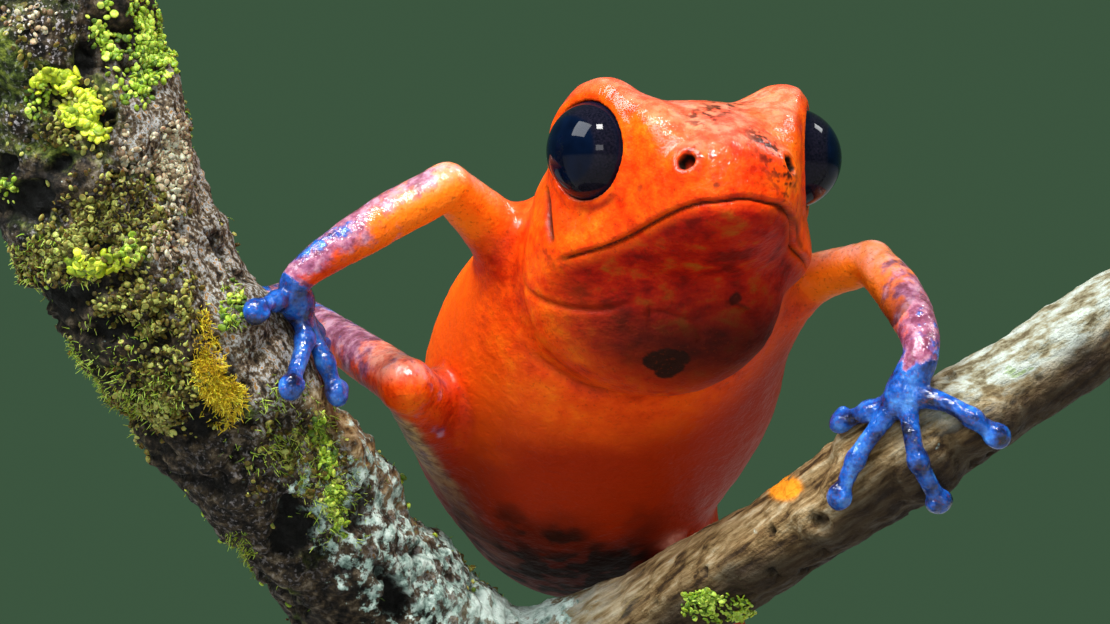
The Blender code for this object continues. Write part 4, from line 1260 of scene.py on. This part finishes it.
def add_eye(name, side, material):
    """A smooth eyeball; its mask tells the iris from the pupil."""
    eye, outward = eye_place(side)
    bm = bmesh.new()
    bmesh.ops.create_uvsphere(bm, u_segments=96, v_segments=64, radius=EYE_RADIUS)
    turn = Vector(outward).to_track_quat("Z", "Y").to_matrix().to_4x4()
    bmesh.ops.transform(bm, matrix=Matrix.Translation(Vector(eye)) @ turn, verts=bm.verts)
    mesh = bpy.data.meshes.new(name)
    bm.to_mesh(mesh)
    bm.free()
    places = np.array([v.co for v in mesh.vertices])
    angle = np.degrees(np.arccos(np.clip((places - eye) @ outward / EYE_RADIUS, -1, 1)))
    iris = ramp(angle, 38, 44) * (1 - 0.6 * ramp(angle, 62, 72))
    mesh.vertices.foreach_set("co", ((places + VIEW_MIDDLE) * 0.001).ravel())
    layer = mesh.attributes.new("iris", "FLOAT", "POINT")
    layer.data.foreach_set("value", iris.astype(np.float32))
    mesh.shade_smooth()
    mesh.materials.append(material)
    item = bpy.data.objects.new(name + "_ball", mesh)
    bpy.context.scene.collection.objects.link(item)
    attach(item, "root")
    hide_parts(name)


# The perch

def build_perch():
    """The forked branch as one surface."""
    low, high = np.array([1e9] * 3), np.array([-1e9] * 3)
    for line, radii in BRANCHES:
        low = np.minimum(low, line.min(0) - radii.max() - 0.6)
        high = np.maximum(high, line.max(0) + radii.max() + 0.6)
    field = Field(low, high, BARK_STEP)
    for line, radii in BRANCHES:
        add_limb_cut(field, line, radii)
    verts, quads = surface_net(field)
    verts = settle(field, verts, quads)
    return verts, quads


def add_limb_cut(field, line, radii):
    """A branch with flat sawn ends."""
    reach = radii.max() + 1.0
    cuts, x, y, z = field.window(line.min(0) - reach, line.max(0) + reach)
    near = chain_distance(field, line, radii, reach)[1]
    start = unit(line[1] - line[0])
    near = np.maximum(near, -((x - line[0][0]) * start[0] + (y - line[0][1]) * start[1]
                              + (z - line[0][2]) * start[2]))
    if line is BRANCHES[2][0]:
        end = unit(line[-1] - line[-2])
        near = np.maximum(near, (x - line[-1][0]) * end[0] + (y - line[-1][1]) * end[1]
                          + (z - line[-1][2]) * end[2])
    field.values[cuts] = merge(field.values[cuts], near.astype(np.float32), 0.5)


def branch_coordinates(verts):
    """Which branch each vertex is on, how far along it, and its place across the axis."""
    which = np.zeros(len(verts), int)
    best = np.full(len(verts), 1e9)
    along = np.zeros(len(verts))
    for number, (line, radii) in enumerate(BRANCHES):
        distance, place = nearest_on(line, verts)
        distance = distance - np.interp(place * (len(radii) - 1), np.arange(len(radii)), radii)
        closer = distance < best
        best[closer] = distance[closer]
        which[closer] = number
        along[closer] = place[closer]
    across = np.zeros((len(verts), 3))
    length = np.zeros(len(verts))
    for number, (line, _) in enumerate(BRANCHES):
        chosen = which == number
        place = along[chosen] * (len(line) - 1)
        index = np.minimum(place.astype(int), len(line) - 2)
        t = (place - index)[:, None]
        middle = line[index] + (line[index + 1] - line[index]) * t
        across[chosen] = verts[chosen] - middle
        total = np.linalg.norm(np.diff(line, axis=0), axis=1).sum()
        length[chosen] = along[chosen] * total + 40 * number
    return which, along, across, length


def hollow_mask(verts, normals, left):
    """Hollows in the left branch, carved and painted with shade, some where the photo shows them
    and some scattered.
    """
    ragged = 0.55 * fractal_noise(verts, 0.5, 3, 27)
    hollow_shade = view_patches(verts, HOLLOWS) * left * (normals[:, 1] < 0.3)
    scattered = left * ramp(fractal_noise(verts, 0.8, 3, 28), 0.40, 0.75) * 0.8
    return np.clip(np.maximum(ramp(hollow_shade + ragged, 0.35, 0.75), scattered), 0, 1)


def hold_mask(verts, digits):
    """Where a finger or toe rests on the bark."""
    held = np.zeros(len(verts))
    for points in digits:
        distance, _ = nearest_on(points, verts, 1.3)
        held = np.maximum(held, 1 - ramp(distance, 0.65, 1.15))
    return held


def perch_masks(verts, which, along, around, upper, lumps, fine):
    """The masks that the bark's colours follow, but for streaks and hollows."""
    left, right = which == 0, which == 1
    facing_right = around @ unit(np.array([0.93, -0.25, 0.25]))
    facing_up = around[:, 2]
    x = verts[:, 0]
    edge = left * ramp(facing_right + 0.2 * fine, 0.42, 0.72) * ramp(along, 0.10, 0.22) * 0.95
    edge = edge * (1 - 0.7 * ramp(along, 0.45, 0.65))
    tan = np.maximum(np.where(right, 1.0, 0.0), (which == 2) * 0.4)
    # painted highlight along the ridge of the left branch
    ridge_highlight = np.clip(view_patches(verts, TAN_HIGHLIGHT_STRIP), 0, 1)
    tan = np.maximum(tan, left * ridge_highlight * ramp(facing_right, -0.1, 0.3))
    pale = right * ramp(x, 7.2, 9.8) * ramp(facing_up + 0.2 * lumps, -0.30, 0.25)
    saddle = ramp(-x, -2.5, 0.5) * ramp(facing_up, -0.3, 0.3)
    pale = np.maximum(pale, np.where(left, view_patches(verts, PALE_FORK), saddle * 0.8))
    shade = right * ramp(-facing_up + 0.25 * lumps, -0.10, 0.60) * 0.88
    shade = np.maximum(shade, view_patches(verts, KNOT_SHADE) * right)
    moss = left * (0.62 - 0.5 * ramp(facing_right, 0.5, 0.8)) * (0.50 + 0.40 * upper)
    moss = np.maximum(moss, 0.30 * (which == 2))
    lichen = left * ramp(along, 0.45, 0.66) * ramp(facing_right, -0.1, 0.5) * 0.60
    lichen = np.maximum(lichen, 0.9 * view_patches(verts, LICHEN_FORK))
    flecks = ramp(lattice_noise(verts, 0.2, 31), -0.7, 0.0)
    rust = right * np.clip(view_patches(verts, RUST_SPOT) * flecks, 0, 1)
    # pale flecks: crust, and painted glints of wet bark
    crust_and_glints = np.clip(left * view_patches(verts, CRUST_AND_GLINT_PATCHES), 0, 1)
    return {"tan": tan, "pale": pale, "moss": moss, "lichen": lichen, "rust": rust,
            "edge": edge, "shade": shade, "crust_and_glints": crust_and_glints}


def finish_perch(verts, quads, digits):
    """Bark relief with hollows and a knot, and the masks that the colours follow."""
    normals = net_normals(verts, quads)
    which, along, across, length = branch_coordinates(verts)
    left, right = which == 0, which == 1
    stripes_at = across + length[:, None] * np.array([0.13, 0.09, 0.05])
    streak = fractal_noise(stripes_at, 0.45, 3, 21) * 0.5 + 0.5
    ridges = 1 - np.abs(fractal_noise(stripes_at, 0.55, 2, 22)) * 2
    lumps = fractal_noise(verts, 1.5, 4, 23)
    fine = fractal_noise(verts, 0.35, 3, 24)
    rough = np.where(left, 1.0, np.where(right, 0.40, 0.7))
    relief = rough * (0.20 * lumps + 0.08 * fine) + 0.05 * ridges
    upper = left * ramp(-along, -0.42, -0.12)
    cells = np.abs(lattice_noise(verts, 0.45, 25))
    relief = relief + upper * (0.16 * (0.5 - cells) + 0.20 * lattice_noise(verts, 1.0, 26))
    knot = view_patches(verts, KNOT) * right
    relief = relief + 0.22 * knot * (1 - 1.3 * view_patches(verts, KNOT_HOLE))
    hollow_shade = hollow_mask(verts, normals, left)
    relief = relief - 0.26 * hollow_shade
    relief = relief + 0.34 * view_patches(verts, RIDGES) * left
    held = hold_mask(verts, digits)
    relief = relief * (1 - 0.8 * held) + 0.30 * held
    relief = relief * np.where(right, ramp(along, 0.0, 0.01), 1)
    verts = verts + normals * np.clip(relief, -0.48, 0.42)[:, None]
    masks = perch_masks(verts, which, along, unit_rows(across), upper, lumps, fine)
    return verts, {"streak": streak, "hollow_shade": hollow_shade * (1 - held), **masks}


def unit_rows(rows):
    return rows / np.maximum(np.linalg.norm(rows, axis=1), 1e-9)[:, None]


def scatter(verts, normals, chance, count, seed):
    """Random places on a mesh, likelier where the chance is high."""
    draw = np.random.RandomState(seed)
    weights = chance / chance.sum()
    picked = draw.choice(len(verts), size=count, p=weights)
    aside = draw.uniform(-0.5, 0.5, (count, 3)) * BARK_STEP
    return verts[picked] + aside, normals[picked], draw


def leaf_clump(name, places, normals, sizes, draw, material, flat=0.3, cup=0.5):
    """Many small round leaves, each a cupped disc leaning out of the bark."""
    bm = bmesh.new()
    bmesh.ops.create_icosphere(bm, subdivisions=2, radius=1.0)
    shape = np.array([v.co for v in bm.verts])
    faces = np.array([[v.index for v in f.verts] for f in bm.faces])
    bm.free()
    verts = []
    tris = []
    for number, (place, normal, size) in enumerate(zip(places, normals, sizes)):
        tilt = unit(normal + draw.normal(0, 0.6, 3))
        axes = frame_of(tilt, draw.normal(0, 1, 3))
        points = shape * np.array([1.0, draw.uniform(0.6, 1.0), flat * draw.uniform(0.7, 1.3)])
        round_by = points[:, 0] ** 2 + points[:, 1] ** 2
        points[:, 2] += cup * draw.uniform(-0.3, 1.0) * (round_by - 0.5)
        verts.append(place + normal * size * 0.45 + points @ axes.T * size)
        tris.append(faces + number * len(shape))
    tones = np.repeat(draw.uniform(0, 1, len(places)), len(shape))
    return make_piece(name, np.concatenate(verts), np.concatenate(tris), material,
                      {"tone": tones})


def thread_clump(name, places, normals, draw, length, thickness, material):
    """Curly moss threads."""
    verts = []
    faces = []
    sides, rings = 3, 6
    for number, (place, normal) in enumerate(zip(places, normals)):
        direction = unit(normal + draw.normal(0, 0.7, 3))
        bend = draw.normal(0, 0.8, 3) + np.array([0, 0, -0.35])
        total = length * draw.uniform(0.5, 1.2)
        base = number * sides * rings
        point = place - normal * 0.05
        for ring in range(rings):
            heading = unit(direction + bend * ring / rings)
            axes = frame_of(heading, np.array([0.3, 0.9, 0.2]))
            width = thickness * (1 - 0.75 * ring / (rings - 1))
            for side in range(sides):
                angle = 2 * math.pi * side / sides
                out = axes[:, 0] * math.cos(angle) + axes[:, 1] * math.sin(angle)
                verts.append(point + out * width)
            point = point + heading * total / (rings - 1)
            if ring:
                for side in range(sides):
                    after = (side + 1) % sides
                    a = base + (ring - 1) * sides
                    b = base + ring * sides
                    faces.append((a + side, a + after, b + after, b + side))
    tones = np.repeat(draw.uniform(0, 1, len(places)), sides * rings)
    return make_piece(name, np.array(verts), np.array(faces), material, {"tone": tones})


def patch_chance(verts, normals, patches, seed, facing=0.25):
    """How likely growth is at each vertex: in clumps near places in the view, on the
    viewer's side."""
    near = np.maximum(view_patches(verts, patches) - 0.04, 0)
    clumps = ramp(fractal_noise(verts, 0.8, 3, seed), -0.45, 0.35)
    return near * (0.12 + clumps) * (normals[:, 1] < facing)


def grow_moss(verts, quads, which, hollow_shade):
    """Leaves and threads on the bark where the photo shows them, and some behind."""
    normals = net_normals(verts, quads)
    left = (which == 0) * (1 - 0.92 * hollow_shade)
    fresh = moss_material("moss_green", (0.035, 0.085, 0.003), (0.24, 0.38, 0.012),
                          (0.58, 0.70, 0.10))
    lime = moss_material("moss_lime", (0.12, 0.19, 0.003), (0.46, 0.54, 0.010), (0.80, 0.82, 0.06))
    olive = moss_material("moss_olive", (0.010, 0.007, 0.002), (0.105, 0.085, 0.010),
                          (0.38, 0.38, 0.09), 0.22)
    beige = moss_material("moss_beige", (0.10, 0.060, 0.025), (0.34, 0.26, 0.15),
                          (0.60, 0.54, 0.40))
    yellow = moss_material("moss_yellow", (0.34, 0.19, 0.003), (0.72, 0.46, 0.008),
                           (0.90, 0.74, 0.05))

    def leaves(name, patches, count, seed, sizes, material, flat=0.3, cup=0.5, on=left, behind=0):
        chance = patch_chance(verts, normals, patches, seed) * on
        clumps = ramp(fractal_noise(verts, 1.6, 3, seed + 20), 0.1, 0.5)
        chance += behind * clumps * on * (normals[:, 1] > 0.2)
        places, outs, draw = scatter(verts, normals, chance, count, seed)
        leaf_clump(name, places, outs, draw.uniform(*sizes, len(places)), draw, material, flat, cup)

    def threads(name, patches, count, seed, length, thickness, material, behind=0.0):
        chance = patch_chance(verts, normals, patches, seed) * left
        chance += behind * left * (normals[:, 1] > 0.1)
        places, outs, draw = scatter(verts, normals, chance, count, seed)
        thread_clump(name, places, outs, draw, length, thickness, material)

    leaves("moss_leaves_green", GREEN_LEAVES, 2600, 41, (0.04, 0.11), fresh, 0.5, 0.4, behind=0.10)
    leaves("moss_leaves_lime", LIME_LEAVES, 420, 46, (0.06, 0.15), lime, 0.45, 0.6)
    leaves("moss_leaves_olive", OLIVE_LEAVES, 6000, 42, (0.03, 0.10), olive, 0.40, 0.6, behind=0.10)
    leaves("moss_leaves_beige", BEIGE_LEAVES, 700, 47, (0.04, 0.10), beige, 0.5, 0.3)
    leaves("moss_tuft", TUFT, 420, 45, (0.035, 0.09), fresh, on=which == 1)
    threads("moss_threads_yellow", YELLOW_THREADS, 3600, 43, 0.22, 0.022, yellow)
    threads("moss_threads_green", GREEN_THREADS, 4200, 44, 0.24, 0.018, fresh, 0.04)


# Stage

def add_light(name, place, size, power, colour):
    """A soft rectangular lamp that faces the frog."""
    data = bpy.data.lights.new(name, "AREA")
    data.shape = "RECTANGLE"
    data.size, data.size_y = size
    data.energy = power
    data.color = colour
    item = bpy.data.objects.new(name, data)
    item.location = place
    item.rotation_euler = (Vector(LAMP_TARGET) - Vector(place)).to_track_quat("-Z", "Y").to_euler()
    bpy.context.scene.collection.objects.link(item)


def add_stage():
    """Pale floor, dark green world, soft lamps and the camera at the photo's angle."""
    bm = bmesh.new()
    bmesh.ops.create_circle(bm, cap_ends=True, segments=96, radius=FLOOR_RADIUS)
    mesh = bpy.data.meshes.new("floor")
    bm.to_mesh(mesh)
    bm.free()
    material, tree, principled, place = new_material("floor", Roughness=0.75)
    tree.links.new(stops(tree, grain(tree, place, 20.0), (0.3, (0.29, 0.29, 0.28)),
                         (0.7, (0.32, 0.32, 0.31))), principled.inputs["Base Color"])
    distance = node(tree, "VectorMath", {0: place}, operation="LENGTH").outputs["Value"]
    tree.links.new(remap(tree, distance, FLOOR_RADIUS * 0.35, FLOOR_RADIUS * 0.98, 1.0, 0.0),
                   principled.inputs["Alpha"])
    mesh.materials.append(material)
    floor = bpy.data.objects.new("floor", mesh)
    floor.location.z = -0.0002
    bpy.context.scene.collection.objects.link(floor)
    world = bpy.data.worlds.new("studio")
    world.use_nodes = True
    world.node_tree.nodes["Background"].inputs[0].default_value = rgba(WORLD_COLOUR)
    world.node_tree.nodes["Background"].inputs[1].default_value = 1.0
    bpy.context.scene.world = world
    for lamp in LAMPS:
        add_light(*lamp)
    data = bpy.data.cameras.new("camera")
    data.sensor_fit = "HORIZONTAL"
    data.angle = 2 * math.atan(PHOTO_SIZE[0] / PIXELS_PER_MM / 2 / VIEW_DISTANCE)
    data.clip_start = 0.005
    camera = bpy.data.objects.new("camera", data)
    camera.location = Vector(VIEW_MIDDLE * 0.001) - Vector((0, VIEW_DISTANCE * 0.001, 0))
    camera.rotation_euler = (math.pi / 2, 0, 0)
    bpy.context.scene.collection.objects.link(camera)
    bpy.context.scene.camera = camera
    bpy.context.scene.view_settings.view_transform = "Standard"


def dress_stand(material):
    """Finishes the stand's own solids."""
    for name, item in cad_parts.items():
        if name.startswith("stand"):
            item.data.materials.clear()
            item.data.materials.append(material)


def main():
    add_stage()
    field, verts, quads, lines = build_skin()
    verts, masks = finish_skin(field, verts, quads, lines)
    skin = make_piece("frog_skin", verts, quads, skin_material(), masks)
    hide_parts(*flesh_nodes())
    eyes = eye_material()
    add_eye("eye_right", -1, eyes)
    add_eye("eye_left", 1, eyes)
    held = []
    for _, _, digits in lines.values():
        held += [np.array(track) for track, _ in digits]
    verts, quads = build_perch()
    which = branch_coordinates(verts)[0]
    verts, masks = finish_perch(verts, quads, held)
    perch = make_piece("perch_bark", verts, quads, bark_material(), masks)
    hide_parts("perch_left_branch", "perch_right_branch", "perch_stem")
    grow_moss(verts, quads, which, masks["hollow_shade"])
    dress_stand(stand_material())
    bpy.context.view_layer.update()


main()
